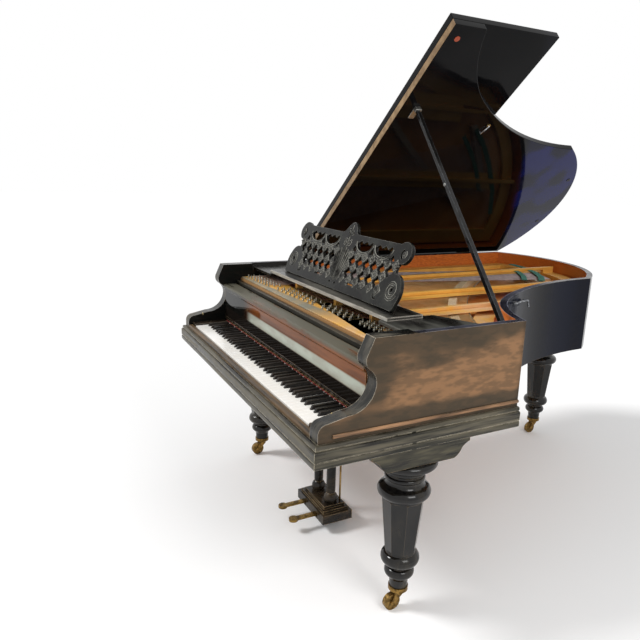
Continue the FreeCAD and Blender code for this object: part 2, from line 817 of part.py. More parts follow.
pins = []
treble_wires = []
bass_wires = []
damper_blocks = []
for note in range(NOTES):
    bass = note < BASS_NOTES
    thickness = bass_wire.value if bass else treble_wire.value
    height = bass_string_height.value if bass else string_height.value
    if bass:
        start_x = bass_string_pitch.value * note - keyboard_half.value - 1
        end = (start_x + 290, (front + bass_bridge_high).value + 80 - 5 * note)
    else:
        start_x = treble_starts[note - BASS_NOTES]
        lean = min(0.32 * (start_x - 28), 0)
        end = (start_x + lean, bridge_y(start_x + lean) + bent_reach.value * 0.06)
    pin_shift = (start_x + keyboard_half.value) * 0.045
    pin_y = front.value + first_pin_row.value + pin_row.value * (note % 3) + pin_shift
    corner = Vector(start_x - pin_side.value - 1, pin_y, web_top.value)
    pins.append(Part.makeBox(pin_side.value, pin_side.value, pin_height.value, corner))
    (bass_wires if bass else treble_wires).append(wire(start_x, pin_y, end, thickness, height))
    slant = (damper_front - nut_back).value / (end[1] - front.value - nut_back.value)
    damper_x = start_x + (end[0] - start_x) * slant
    near_bar = min(abs(damper_x - bar_x) for bar_x in bar_places)
    if note < DAMPED_NOTES and near_bar > bar_width.value / 2 + damper_width.value:
        corner = Vector(
            damper_x - damper_width.value / 2,
            front.value + damper_front.value,
            height + thickness + seat_gap.value,
        )
        damper_blocks.append(
            Part.makeBox(damper_width.value, damper_length.value, damper_height.value, corner)
        )
tuning_pins = solid_group("tuning_pins", pins)
treble_strings = solid_group("treble_strings", treble_wires)
bass_strings = solid_group("bass_strings", bass_wires)
damper_heads = solid_group("damper_heads", damper_blocks)

# Keybed, arms, key slip, key blocks and the mouldings round the base
bed_front = box(
    "bed_front",
    (-inside_half, inside_half),
    (front + moulding_out + glue_gap, front + arm_joint + glue_gap),
    (panel_bottom, bed_top),
)
bed_rear = box(
    "bed_rear",
    (-bay_half, bay_half),
    (front + arm_joint + glue_gap, front + bed_back - glue_gap),
    (panel_bottom, bed_top),
)
keybed = fuse("keybed", bed_front, bed_rear)
arm_front = front + moulding_out + glue_gap
arm_depth = front + arm_joint - arm_front


def arm_point(back, up, *bow):
    """A place on the arm's side, as shares of its depth and height."""
    return (arm_front + arm_depth * back, panel_bottom + case_height * up, *bow)


arm_outline = [
    arm_point(0, 0),
    arm_point(1, 0),
    arm_point(1, 1),
    arm_point(0.5446, 1),
    arm_point(0.4772, 0.8605),
    arm_point(0.5125, 0.724, 0.72),
    arm_point(0.5799, 0.6024, -1.09),
    arm_point(0.3008, 0.3561, -0.715),
    arm_point(0.0898, 0.3145),
    arm_point(0, 0.2315, 0.72),
]
fall_pivot = (front + fall_face + fall_pivot_in, fall_bottom + fall_pivot_up)
bass_board = bar("bass_board", "YZ_Plane", arm_outline, arm_wall, x=-case_half)
bass_bore = rod(
    "bass_bore", (-arm_inner_half - fall_pin_depth, *fall_pivot), fall_pin_radius + running_fit, fall_pin_depth, "x"
)
bass_arm = cut("bass_arm", bass_board, bass_bore)
treble_board = bar("treble_board", "YZ_Plane", arm_outline, arm_wall, x=arm_inner_half)
treble_bore = rod("treble_bore", (arm_inner_half, *fall_pivot), fall_pin_radius + running_fit, fall_pin_depth, "x")
treble_arm = cut("treble_arm", treble_board, treble_bore)
key_slip = bar(
    "key_slip",
    "YZ_Plane",
    [
        (front + moulding_out + glue_gap, bed_top + glue_gap),
        (front + slip_back, bed_top + glue_gap),
        (front + slip_back, slip_top),
        (front + moulding_out + glue_gap + slip_round, slip_top),
        (front + moulding_out + glue_gap, slip_top - slip_round, 0.7072),
    ],
    inside_half * 2,
    x=-inside_half,
)
blocks = []
for index, side in enumerate((-1, 1)):
    ends = (-inside_half, -block_inner) if side < 0 else (block_inner, inside_half)
    blocks.append(
        box(
            f"key_block_{index}",
            ends,
            (front + slip_back + glue_gap, front + block_back),
            (bed_top, block_top),
        )
    )
key_blocks = group("key_blocks", *blocks)
moulding_path = doc.addObject("Sketcher::SketchObject", "moulding_path")
path_points = (
    (-case_half, front + shoulder_back),
    (-case_half, front + moulding_out),
    (case_half, front + moulding_out),
    (case_half, front + shoulder_back),
)
for index in range(3):
    start, stop = path_points[index], path_points[index + 1]
    moulding_path.addGeometry(
        Part.LineSegment(Vector(start[0].value, start[1].value, 0), Vector(stop[0].value, stop[1].value, 0))
    )
for index in range(2):
    moulding_path.addConstraint(Sketcher.Constraint("Coincident", index, 2, index + 1, 1))
for index, (edge, end) in enumerate(((0, 1), (0, 2), (1, 2), (2, 2))):
    for kind, value in (("DistanceX", path_points[index][0]), ("DistanceY", path_points[index][1])):
        mark = moulding_path.addConstraint(Sketcher.Constraint(kind, -1, 1, edge, end, value.value))
        pin_to_sheet(moulding_path, mark, f"{kind}_{index}", value)
moulding_profile = doc.addObject("Sketcher::SketchObject", "moulding_profile")
cap_floor = moulding_top - moulding_cap
trace(
    moulding_profile,
    [
        (0, moulding_bottom),
        (0, moulding_top),
        (-(moulding_out - moulding_round), moulding_top),
        (-moulding_out, moulding_top - moulding_round, 0.7072),
        (-moulding_out, cap_floor + 4),
        (-moulding_out + 4, cap_floor),
        (-moulding_out + 4, moulding_bottom + 4),
        (-moulding_out + 8, moulding_bottom),
    ],
)
place(moulding_profile, -case_half, front + shoulder_back, 0, Vector(1, 0, 0), 90)
base_moulding = doc.addObject("Part::Sweep", "base_moulding")
base_moulding.Sections = [moulding_profile]
base_moulding.Spine = (moulding_path, ["Edge1", "Edge2", "Edge3"])
base_moulding.Solid = True
base_moulding.Transition = "Right corner"
bead_half = bead_height / 2
bead_flat = bead_out - bead_half
bead_top = bead_bottom + bead_height
bead_length = shoulder_back - bead_start
treble_bead = bar(
    "treble_bead",
    "XZ_Plane",
    [(0, bead_bottom), (bead_flat, bead_bottom), (bead_flat, bead_top, 0.525), (0, bead_top)],
    bead_length,
    x=case_half,
    y=front + bead_start,
)
bass_bead = bar(
    "bass_bead",
    "XZ_Plane",
    [(0, bead_bottom), (0, bead_top), (-bead_flat, bead_top), (-bead_flat, bead_bottom, 0.525)],
    bead_length,
    x=-case_half,
    y=front + bead_start,
)
side_beads = group("side_beads", treble_bead, bass_bead)
nameboard_rail = box(
    "nameboard_rail",
    (-inside_half, inside_half),
    (front + rail_front, front + rail_back),
    (rail_top - rail_height, rail_top),
)

# Fallboard: an upright board with a deep moulded rail along its top, hinged at its foot
rail_floor = fall_top - fall_rail_height
fall_board = bar(
    "fall_board",
    "YZ_Plane",
    [
        (front + fall_face, fall_bottom),
        (front + fall_face + fall_thickness, fall_bottom),
        (front + fall_face + fall_thickness, rail_floor),
        (front + fall_face - fall_lip + fall_rail_depth, rail_floor),
        (front + fall_face - fall_lip + fall_rail_depth, fall_top),
        (front + fall_face - fall_lip + fall_round, fall_top),
        (front + fall_face - fall_lip, fall_top - fall_round, 0.7072),
        (front + fall_face - fall_lip, rail_floor + fall_lip),
        (front + fall_face, rail_floor),
    ],
    fall_half * 2,
    x=-fall_half,
)
pin_end = arm_inner_half + fall_pin_depth - 1
fall_pins = rod("fall_pins", (-pin_end, *fall_pivot), fall_pin_radius, pin_end * 2, "x")
fallboard = fuse("fallboard", fall_board, fall_pins)

# Keys: naturals with notched tails, raised sharps between them
WHITE_STEPS = (0, 2, 4, 5, 7, 9, 11)
SHARP_CENTRES = {1: 1.5 / 5 * 3, 3: 3.5 / 5 * 3, 6: 3 + 1.5 / 7 * 4, 8: 3 + 3.5 / 7 * 4, 10: 3 + 5.5 / 7 * 4}
KEYBOARD_START = 9
MIDDLE_KEY = 44


def natural_count(step):
    """White keys from the first C below the keyboard up to this step."""
    octave, rest = divmod(step, 12)
    return octave * 7 + len([white for white in WHITE_STEPS if white < rest])


def sharp_x(step):
    """Middle of a sharp."""
    octave, rest = divmod(step, 12)
    return keyboard_x(octave * 7 + SHARP_CENTRES[rest])


def keyboard_x(whites):
    """Place along the keyboard after this many white keys."""
    return (whites - natural_count(KEYBOARD_START) - NATURALS / 2) * key_pitch.value


def is_sharp(step):
    """True for the black keys."""
    return step % 12 not in WHITE_STEPS


def natural_key(step, last):
    """One white key: a full-width head and a tail cut back for the sharps beside it."""
    gap = key_gap.value / 2
    left = keyboard_x(natural_count(step)) + gap
    right = keyboard_x(natural_count(step) + 1) - gap
    clear = sharp_width.value / 2 + key_gap.value
    tail_left = sharp_x(step - 1) + clear if step > KEYBOARD_START and is_sharp(step - 1) else left
    tail_right = sharp_x(step + 1) - clear if not last and is_sharp(step + 1) else right
    head_back = front.value + (key_front + key_head).value
    near, far = front.value + key_front.value, front.value + key_back.value
    corners = [(left, near), (right, near), (right, head_back), (tail_right, head_back)]
    corners += [(tail_right, far), (tail_left, far), (tail_left, head_back), (left, head_back)]
    points = [Vector(x, y, (key_top - key_thickness).value) for x, y in corners]
    points = [point for index, point in enumerate(points) if (point - points[index - 1]).Length > 0.01]
    face = Part.Face(Part.makePolygon(points + points[:1]))
    return face.extrude(Vector(0, 0, key_thickness.value))


def sharp_key(step):
    """One black key: a raised top with a sloped front over a plain tail."""
    near = front.value + (key_front + key_head + key_gap).value
    raised = (key_top + sharp_rise).value
    low = (key_top - key_thickness).value
    back, tail = front.value + sharp_back.value, front.value + key_back.value
    side = [(near, low), (tail, low), (tail, key_top.value), (back, key_top.value), (back, raised)]
    side += [(near + sharp_slope.value, raised), (near, key_top.value)]
    left = sharp_x(step) - sharp_width.value / 2
    points = [Vector(left, y, z) for y, z in side]
    face = Part.Face(Part.makePolygon(points + points[:1]))
    return face.extrude(Vector(sharp_width.value, 0, 0))


def hammer(step):
    """One hammer: a thin shank and an upright felted head in a single outline."""
    pivot_y, pivot_z = front.value + hammer_pivot_back.value, hammer_pivot_height.value
    half = shank_thickness.value / 2
    head_y = pivot_y + hammer_reach.value
    side = [(pivot_y, -half), (head_y - 4, -half), (head_y - 4, -hammer_tail.value)]
    side += [(head_y + 6, -hammer_tail.value), (head_y + hammer_head.value / 2, hammer_crown.value - 12)]
    side += [(head_y, hammer_crown.value), (head_y - hammer_head.value / 2, hammer_crown.value - 12)]
    side += [(head_y - 5, half), (pivot_y, half)]
    left = hammer_place(step) - hammer_width.value / 2
    points = [Vector(left, y, pivot_z + z) for y, z in side]
    face = Part.Face(Part.makePolygon(points + points[:1]))
    return face.extrude(Vector(hammer_width.value, 0, 0))


def hammer_place(step):
    """Hammers stand at even distances along the keyboard."""
    span = key_pitch.value * NATURALS
    return -span / 2 + span / NOTES * (step - KEYBOARD_START + 0.5)


key_groups = {}
for index in range(NOTES):
    step = KEYBOARD_START + index
    part = "bass" if index < MIDDLE_KEY else "treble"
    kind = "sharps" if is_sharp(step) else "naturals"
    solid = sharp_key(step) if is_sharp(step) else natural_key(step, index == NOTES - 1)
    keys, hammers = key_groups.setdefault((part, kind), ([], []))
    keys.append(solid)
    hammers.append(hammer(step))
key_nodes = []
for (part, kind), (keys, hammers) in key_groups.items():
    key_nodes.append(solid_group(f"{part}_{kind}", keys))
    key_nodes.append(solid_group(f"{part}_{kind[:-1]}_hammers", hammers))

# Key frame with its rails, and the hammer rail on two end brackets
frame_floor = bed_top + seat_gap
stick_top = frame_floor + frame_rail
stick_half = keyboard_half - 5
rail_front_y = front + key_front + 14
rail_back_y = front + key_back - 4
frame_pieces = [
    box("front_rail", (-stick_half, stick_half), (rail_front_y, rail_front_y + rail_width), (frame_floor, stick_top)),
    box(
        "back_rail",
        (-action_half, action_half),
        (rail_back_y - rail_width, rail_back_y),
        (frame_floor, key_bottom - seat_gap),
    ),
    box(
        "balance_rail",
        (-action_half, action_half),
        (front + balance_back - 5, front + balance_back + 5),
        (frame_floor, key_bottom - seat_gap * 2),
    ),
]
for index, stick_x in enumerate((-stick_half, stick_half - rail_width)):
    frame_pieces.append(
        box(
            f"long_stick_{index}",
            (stick_x, stick_x + rail_width),
            (rail_front_y, rail_back_y),
            (frame_floor, stick_top),
        )
    )
for index, ends in enumerate(((-action_half, -action_half + action_end), (action_half - action_end, action_half))):
    frame_pieces.append(
        box(f"end_stick_{index}", ends, (front + balance_back - 5, rail_back_y), (frame_floor, stick_top))
    )
key_frame = fuse("key_frame", *frame_pieces)
rail_crown = hammer_pivot_height - shank_thickness / 2 - 0.5
rail_pieces = [
    box(
        "hammer_rail",
        (-action_half, action_half),
        (front + hammer_pivot_back - 17, front + hammer_pivot_back + 2),
        (rail_crown - 16, rail_crown),
    )
]
for index, ends in enumerate(((-action_half, -action_half + action_end), (action_half - action_end, action_half))):
    rail_pieces.append(
        box(
            f"action_bracket_{index}",
            ends,
            (front + hammer_pivot_back - 22, front + hammer_pivot_back + 8),
            (stick_top, rail_crown - 16),
        )
    )
action_rail = fuse("action_rail", *rail_pieces)

# Lid, built shut about its hinge line and then swung up to rest on the prop
lid_floor = rim_top + lid_gap - hinge_z
swing = Vector(0, -1, 0)


def swung(name, *pieces):
    """Pieces drawn about the hinge line, swung up with the lid."""
    return place(group(name, *pieces), hinge_x, 0, hinge_z, swing, lid_angle)


lid_blank = slab("lid_blank", lid_overhang, lid_floor, lid_thickness)
place(lid_blank, -hinge_x, 0, lid_floor)
lid_edge = -hinge_x - case_half - lid_overhang
lid_front_cut = box(
    "lid_front_cut",
    (lid_edge - 1, case_half * 2 - hinge_x),
    (front, front + lid_fold),
    (lid_floor, lid_floor + lid_thickness),
)
notch_end = knuckle_radius + seat_gap * 2
HINGE_PLACES = (0.353, 0.58, 0.806)
lid_notches = []
for index, hinge_y in enumerate(HINGE_PLACES):
    low = front + case_length * hinge_y
    lid_notches.append(
        box(
            f"lid_notch_{index}",
            (lid_edge - 1, notch_end),
            (low - seat_gap * 2, low + hinge_length + seat_gap * 2),
            (lid_floor, lid_floor + notch_end),
        )
    )
lid_panel = cut("lid_panel", lid_blank, lid_front_cut, *lid_notches)
main_lid = swung("main_lid", lid_panel)
flap_floor = lid_floor + lid_thickness + seat_gap
flap = box(
    "flap",
    (lid_edge, lid_edge + (case_half + lid_overhang) * 2),
    (front + lid_fold + seat_gap, front + lid_fold + flap_depth),
    (flap_floor, flap_floor + lid_thickness),
)
front_lid = swung("front_lid", flap)

# Lid hinges: barrels on the rim's spine side, with the lid's barrels and pins between them
third = hinge_length / 3
case_leaves = []
lid_leaf_pieces = []
leaf_face = -case_half - leaf_thickness
leaf_top = hinge_z - notch_end
for index, hinge_y in enumerate(HINGE_PLACES):
    low = front + case_length * hinge_y
    leaf_low = rim_top - leaf_width
    case_leaves.append(
        box(f"leaf_{index}", (leaf_face, -case_half), (low, low + hinge_length), (leaf_low, leaf_top))
    )
    for end, start in enumerate((low, low + third * 2)):
        middle = (hinge_x, start, hinge_z)
        ring = rod(f"case_barrel_{index}_{end}", middle, knuckle_radius, third, "y")
        stem = box(
            f"case_stem_{index}_{end}",
            (hinge_x, -case_half),
            (start, start + third),
            (leaf_top, hinge_z),
        )
        bore = rod(f"case_bore_{index}_{end}", middle, pin_radius + running_fit, third, "y")
        eye = fuse(f"case_eye_{index}_{end}", ring, stem)
        case_leaves.append(cut(f"case_knuckle_{index}_{end}", eye, bore))
    knuckle_low = low + third + seat_gap
    knuckle_length = third - seat_gap * 2
    knuckle_ends = (knuckle_low, knuckle_low + knuckle_length)
    lid_leaf_pieces.append(
        fuse(
            f"lid_knuckle_{index}",
            rod(f"lid_barrel_{index}", (0, knuckle_low, 0), knuckle_radius, knuckle_length, "y"),
            box(f"lid_tab_{index}", (0, notch_end), knuckle_ends, (0, knuckle_radius)),
            rod(f"lid_pin_{index}", (0, low + 2, 0), pin_radius, hinge_length - 4, "y"),
        )
    )
lid_hinges = fuse("lid_hinges", *case_leaves)
lid_leaves = swung("lid_leaves", *lid_leaf_pieces)

# Lid prop: stands square to the lid, with its foot on a bracket inside the treble side
prop_run = (prop_x - hinge_x) * sine(lid_angle) - (prop_z - hinge_z) * cosine(lid_angle)
prop_reach = prop_run + lid_floor - cup_thickness - seat_gap
prop_u = (prop_x - hinge_x) * cosine(lid_angle) + (prop_z - hinge_z) * sine(lid_angle)
prop_bar = bar(
    "prop_bar",
    "XZ_Plane",
    [
        (-prop_depth / 2, 0),
        (prop_depth / 2, 0, 0.52),
        (prop_tip_depth / 2, prop_reach),
        (-prop_tip_depth / 2, prop_reach),
    ],
    prop_width,
    y=-prop_width / 2,
)
prop_bore = rod("prop_bore", (0, -prop_width, 0), prop_pin_radius + running_fit, prop_width * 2, "y")
prop_shape = cut("prop_shape", prop_bar, prop_bore)
lid_prop = place(group("lid_prop", prop_shape), prop_x, front + prop_back, prop_z, swing, lid_angle)
lug_inner = prop_width / 2 + seat_gap
bracket_parts = [
    box(
        "prop_plate",
        (bay_half - cup_thickness, bay_half),
        (front + prop_back - 28, front + prop_back + 18),
        (prop_z - 24, prop_z + 14),
    ),
    rod(
        "prop_pin",
        (prop_x, front + prop_back - lug_inner - 7, prop_z),
        prop_pin_radius,
        lug_inner * 2 + 14,
        "y",
    ),
]
for index, lug_y in enumerate((-lug_inner - 6, lug_inner)):
    bracket_parts.append(
        box(
            f"prop_lug_{index}",
            (prop_x - prop_depth / 2, bay_half - cup_thickness),
            (front + prop_back + lug_y, front + prop_back + lug_y + 6),
            (prop_z - 10, prop_z + 10),
        )
    )
prop_bracket = fuse("prop_bracket", *bracket_parts)
cup_floor = lid_floor - cup_thickness
cup_stop = prop_u + prop_tip_depth / 2 + seat_gap
cup_parts = [
    box(
        "cup_plate",
        (cup_stop + 5 - cup_length, cup_stop + 5),
        (front + prop_back - lug_inner - 4, front + prop_back + lug_inner + 4),
        (cup_floor, lid_floor),
    ),
    box(
        "cup_stop",
        (cup_stop, cup_stop + 5),
        (front + prop_back - lug_inner - 4, front + prop_back + lug_inner + 4),
        (cup_floor - 12, cup_floor),
    ),
]
for index, cheek_y in enumerate((-lug_inner - 4, lug_inner)):
    cup_parts.append(
        box(
            f"cup_cheek_{index}",
            (cup_stop - prop_tip_depth, cup_stop),
            (front + prop_back + cheek_y, front + prop_back + cheek_y + 4),
            (cup_floor - 12, cup_floor),
        )
    )
prop_cup = swung("prop_cup", fuse("cup_shape", *cup_parts))
tail_middle = front + case_length - tail_radius
buffer_places = (
    (case_half - 45, front + lid_fold + 40),
    (tail_centre_x + tail_radius * 0.54, tail_middle + tail_radius * 0.79),
    (tail_centre_x, tail_middle + tail_radius * 0.95),
)
buffers = []
for index, (buffer_x, buffer_y) in enumerate(buffer_places):
    buffers.append(
        rod(
            f"buffer_{index}",
            (buffer_x - hinge_x, buffer_y, lid_floor - lid_gap),
            buffer_radius,
            lid_gap,
        )
    )
lid_buffers = swung("lid_buffers", *buffers)

# Wings beside the music desk, and the shelf that slides on them
wing_top = wing_bottom + wing_thickness
treble_wing = bar(
    "treble_wing",
    "XY_Plane",
    [
        (wing_inner, front + wing_front),
        (bay_half, front + wing_front),
        (bay_half, front + wing_back),
        (wing_inner, front + wing_short),
    ],
    wing_thickness,
    z=wing_bottom,
)
bass_wing = bar(
    "bass_wing",
    "XY_Plane",
    [
        (-bay_half, front + wing_front),
        (-wing_inner, front + wing_front),
        (-wing_inner, front + wing_short),
        (-bay_half, front + wing_back),
    ],
    wing_thickness,
    z=wing_bottom,
)
desk_wings = group("desk_wings", treble_wing, bass_wing)
shelf_floor = wing_top + seat_gap
shelf_top = shelf_floor + shelf_thickness
strut_pivot_z = shelf_floor + shelf_thickness / 2
shelf_pieces = [
    box(
        "shelf_board",
        (-shelf_half, shelf_half),
        (front + shelf_front, front + shelf_back),
        (shelf_floor, shelf_top),
    )
]
strut_pieces = []
meeting = strut_angle + desk_lean
strut_run = (strut_foot - desk_foot) * cosine(desk_lean)
strut_run = strut_run + (shelf_top + seat_gap - strut_pivot_z) * sine(desk_lean)
strut_run = strut_run - strut_thickness / 2 * cosine(meeting) - seat_gap
strut_length = strut_run / sine(meeting)
for index, side in enumerate((-1, 1)):
    middle = strut_x * side
    near = strut_width / 2 + seat_gap
    for end, lug_x in enumerate((middle - near - 6, middle + near)):
        shelf_pieces.append(
            box(
                f"strut_lug_{index}_{end}",
                (lug_x, lug_x + 6),
                (front + shelf_back, front + strut_foot + 5),
                (shelf_floor, shelf_top),
            )
        )
    shelf_pieces.append(
        rod(
            f"strut_pin_{index}",
            (middle - near - 6, front + strut_foot, strut_pivot_z),
            pin_radius,
            near * 2 + 12,
            "x",
        )
    )
    arm = bar(
        f"strut_arm_{index}",
        "YZ_Plane",
        [
            (-strut_thickness / 2, 0),
            (strut_thickness / 2, 0, 0.525),
            (strut_thickness / 2, strut_length),
            (-strut_thickness / 2, strut_length),
        ],
        strut_width,
        x=-strut_width / 2,
    )
    eye = rod(f"strut_eye_{index}", (-strut_width, 0, 0), pin_radius + running_fit, strut_width * 2, "x")
    strut = group(f"strut_{index}", cut(f"strut_shape_{index}", arm, eye))
    strut_pieces.append(
        place(strut, middle, front + strut_foot, strut_pivot_z, Vector(1, 0, 0), strut_angle)
    )
music_shelf = fuse("music_shelf", *shelf_pieces)
desk_struts = group("desk_struts", *strut_pieces)

# Music desk: a pierced panel with scrolled ends, eared corners and a pointed crest
desk_side = [
    (desk_base_half - 8, 0),
    (desk_base_half, desk_height * 0.126, 1.47),
    (desk_base_half - 3, desk_height * 0.388, 1.11),
    (desk_base_half - 62, desk_height * 0.544, 0.775),
    (desk_ear_half - 46, desk_height * 0.709, -0.765),
    (desk_ear_half, desk_height * 0.8835, 0.634),
    (desk_ear_half - 72, desk_height, 0.567),
    (64, desk_height),
    (38, desk_height + desk_crest * 0.344, -1),
]
crest = [(0, desk_height + desk_crest, 1.166), (-38, desk_height + desk_crest * 0.344, 1.166)]
mirrored = []
arc_after = [point[2] if len(point) > 2 else None for point in desk_side[1:]]
for point, radius in zip(reversed(desk_side[:-1]), reversed(arc_after)):
    mirrored.append((-point[0], point[1]) if radius is None else (-point[0], point[1], radius))
desk_blank = bar(
    "desk_blank", "XZ_Plane", desk_side + crest + mirrored, desk_thickness, y=-desk_thickness
)


def eyelet(name, x, z, radius):
    """A round piercing through the desk."""
    return rod(name, (x, -desk_thickness - 1, z), radius, desk_thickness + 2, "y")


def slot(name, points):
    """A piercing with its own outline through the desk."""
    return bar(name, "XZ_Plane", points, desk_thickness + 2, y=-desk_thickness - 1)


piercings = []
for side, word in ((-1, "bass"), (1, "treble")):
    for index, share in enumerate((0.29, 0.585)):
        arch_x = desk_base_half * side * share
        arch_half = desk_base_half * 0.118
        spring = desk_height * 0.858
        piercings.append(
            slot(f"{word}_arch_{index}", [(arch_x - arch_half, spring), (arch_x + arch_half, spring, 0.519)])
        )
    piercings.append(eyelet(f"{word}_ear_eye", (desk_ear_half - 34) * side, desk_height * 0.854, 9))
    piercings.append(eyelet(f"{word}_scroll_eye", (desk_base_half - 52) * side, desk_height * 0.3, 17))
    for index, share in enumerate((0.192, 0.353, 0.514, 0.675)):
        hole_x = desk_base_half * side * share
        piercings.append(eyelet(f"{word}_hole_{index}", hole_x, desk_height * 0.535, 11))
        piercings.append(eyelet(f"{word}_low_hole_{index}", hole_x, desk_height * 0.252, 15))
    for index, share in enumerate((0.2725, 0.4335, 0.5945)):
        tear_x = desk_base_half * side * share
        piercings.append(
            slot(
                f"{word}_tear_{index}",
                [
                    (tear_x - 20, desk_height * 0.4, 1.2),
                    (tear_x, desk_height * 0.305, 1.2),
                    (tear_x + 20, desk_height * 0.4, 1.2),
                    (tear_x, desk_height * 0.495, 1.2),
                ],
            )
        )
    lean_low = desk_base_half * side * 0.031
    lean_high = desk_base_half * side * 0.089
    piercings.append(
        slot(
            f"{word}_lyre_slot",
            [
                (lean_low - 8, desk_height * 0.146),
                (lean_low + 8, desk_height * 0.146),
                (lean_high + 8, desk_height * 0.728),
                (lean_high - 8, desk_height * 0.728),
            ],
        )
    )
piercings.append(eyelet("crest_eye", 0, desk_height + 10, 12))
desk_panel = cut("desk_panel", desk_blank, *piercings)
music_desk = place(
    group("music_desk", desk_panel),
    0,
    front + desk_foot,
    shelf_top + seat_gap,
    Vector(1, 0, 0),
    -desk_lean,
)

# Leg brackets with stepped, curved ends under the arms, and a block inside the tail
bracket_rise = moulding_bottom - glue_gap - bracket_bottom
bracket_outline = [
    (-bracket_half, bracket_bottom, 1.36),
    (bracket_half, bracket_bottom),
    (bracket_half + bracket_flare / 2, bracket_bottom + bracket_rise / 2, 1.36),
    (bracket_half + bracket_flare, bracket_bottom + bracket_rise - 14, -1.716),
    (bracket_half + bracket_flare, bracket_bottom + bracket_rise),
    (-bracket_half - bracket_flare, bracket_bottom + bracket_rise),
    (-bracket_half - bracket_flare, bracket_bottom + bracket_rise - 14),
    (-bracket_half - bracket_flare / 2, bracket_bottom + bracket_rise / 2, -1.716),
]
bracket_nodes = []
for word, low in (("bass", -case_half - bracket_out), ("treble", bracket_inner)):
    shaped = bar(
        f"{word}_bracket_shape", "YZ_Plane", bracket_outline, bracket_width, x=low, y=front + leg_back
    )
    edge = bracket_inner if word == "treble" else -case_half + glue_gap
    pad = box(
        f"{word}_bracket_pad",
        (edge, edge + case_half - glue_gap - bracket_inner),
        (front + leg_back - bracket_half, front + leg_back + bracket_half),
        (moulding_bottom - glue_gap, panel_bottom),
    )
    bracket_nodes.append(fuse(f"{word}_bracket", shaped, pad))
tail_space = slab("tail_space", ledge_out, bracket_bottom, inner_rim_bottom - bracket_bottom)
tail_blank = box(
    "tail_blank",
    (tail_leg_x - 112, tail_leg_x + 112),
    (front + tail_leg_back - 112, front + case_length),
    (bracket_bottom, inner_rim_bottom),
)
bracket_nodes.append(common("tail_bracket", tail_space, tail_blank))
leg_brackets = group("leg_brackets", *bracket_nodes)

# Turned legs with an eight-sided shaft, each on a brass cup, fork and wheel


def turning(radius, up, *bow):
    """A point of the leg's upper turning, up as a share of its height."""
    return (radius, shaft_top + turning_height * up, *bow)


def footing(radius, up, *bow):
    """A point of the leg's foot, up as a share of its height."""
    return (radius, leg_foot + foot_height * up, *bow)


upper_profile = [
    turning(0, 0),
    turning(shaft_top_flat + 3, 0),
    turning(shaft_top_flat + 3, 0.04),
    turning(collar_radius - 6, 0.06),
    turning(collar_radius - 4, 0.31, 0.56),
    turning(neck_radius + 10, 0.34),
    turning(neck_radius + 2, 0.46, -0.9),
    turning(neck_radius + 2, 0.57, 0.53),
    turning(neck_radius, 0.6),
    turning(neck_radius + 4, 0.62),
    turning(neck_radius + 4, 0.75, 0.53),
    turning(neck_radius + 12, 0.79),
    turning(cushion_radius - 6, 0.815),
    turning(cushion_radius - 6, 0.975, 0.56),
    turning(cushion_radius - 14, 1),
    turning(0, 1),
]
lower_profile = [
    footing(0, 0),
    footing(leg_foot_radius, 0),
    footing(leg_foot_radius, 0.09),
    footing(leg_foot_radius + 2, 0.26),
    footing(foot_radius - 9, 0.33),
    footing(foot_radius - 9, 0.57, 0.54),
    footing(foot_radius - 9, 0.61),
    footing(ankle_radius - 13, 0.65),
    footing(ankle_radius - 12, 0.95, 0.54),
    footing(ankle_radius - 14, 1),
    footing(0, 1),
]
LEG_PLACES = (
    ("bass_leg", -leg_x, front + leg_back),
    ("treble_leg", leg_x, front + leg_back),
    ("tail_leg", tail_leg_x, front + tail_leg_back),
)


def octagon(name, flat, x, y, z):
    """An eight-sided outline lying level at height z."""
    sketch = doc.addObject("Sketcher::SketchObject", name)
    reach = flat / math.cos(math.pi / 8)
    corners = []
    for corner in range(8):
        angle = math.pi / 8 + corner * math.pi / 4
        corners.append((reach * round(math.cos(angle), 6), reach * round(math.sin(angle), 6)))
    trace(sketch, corners)
    return place(sketch, x, y, z)


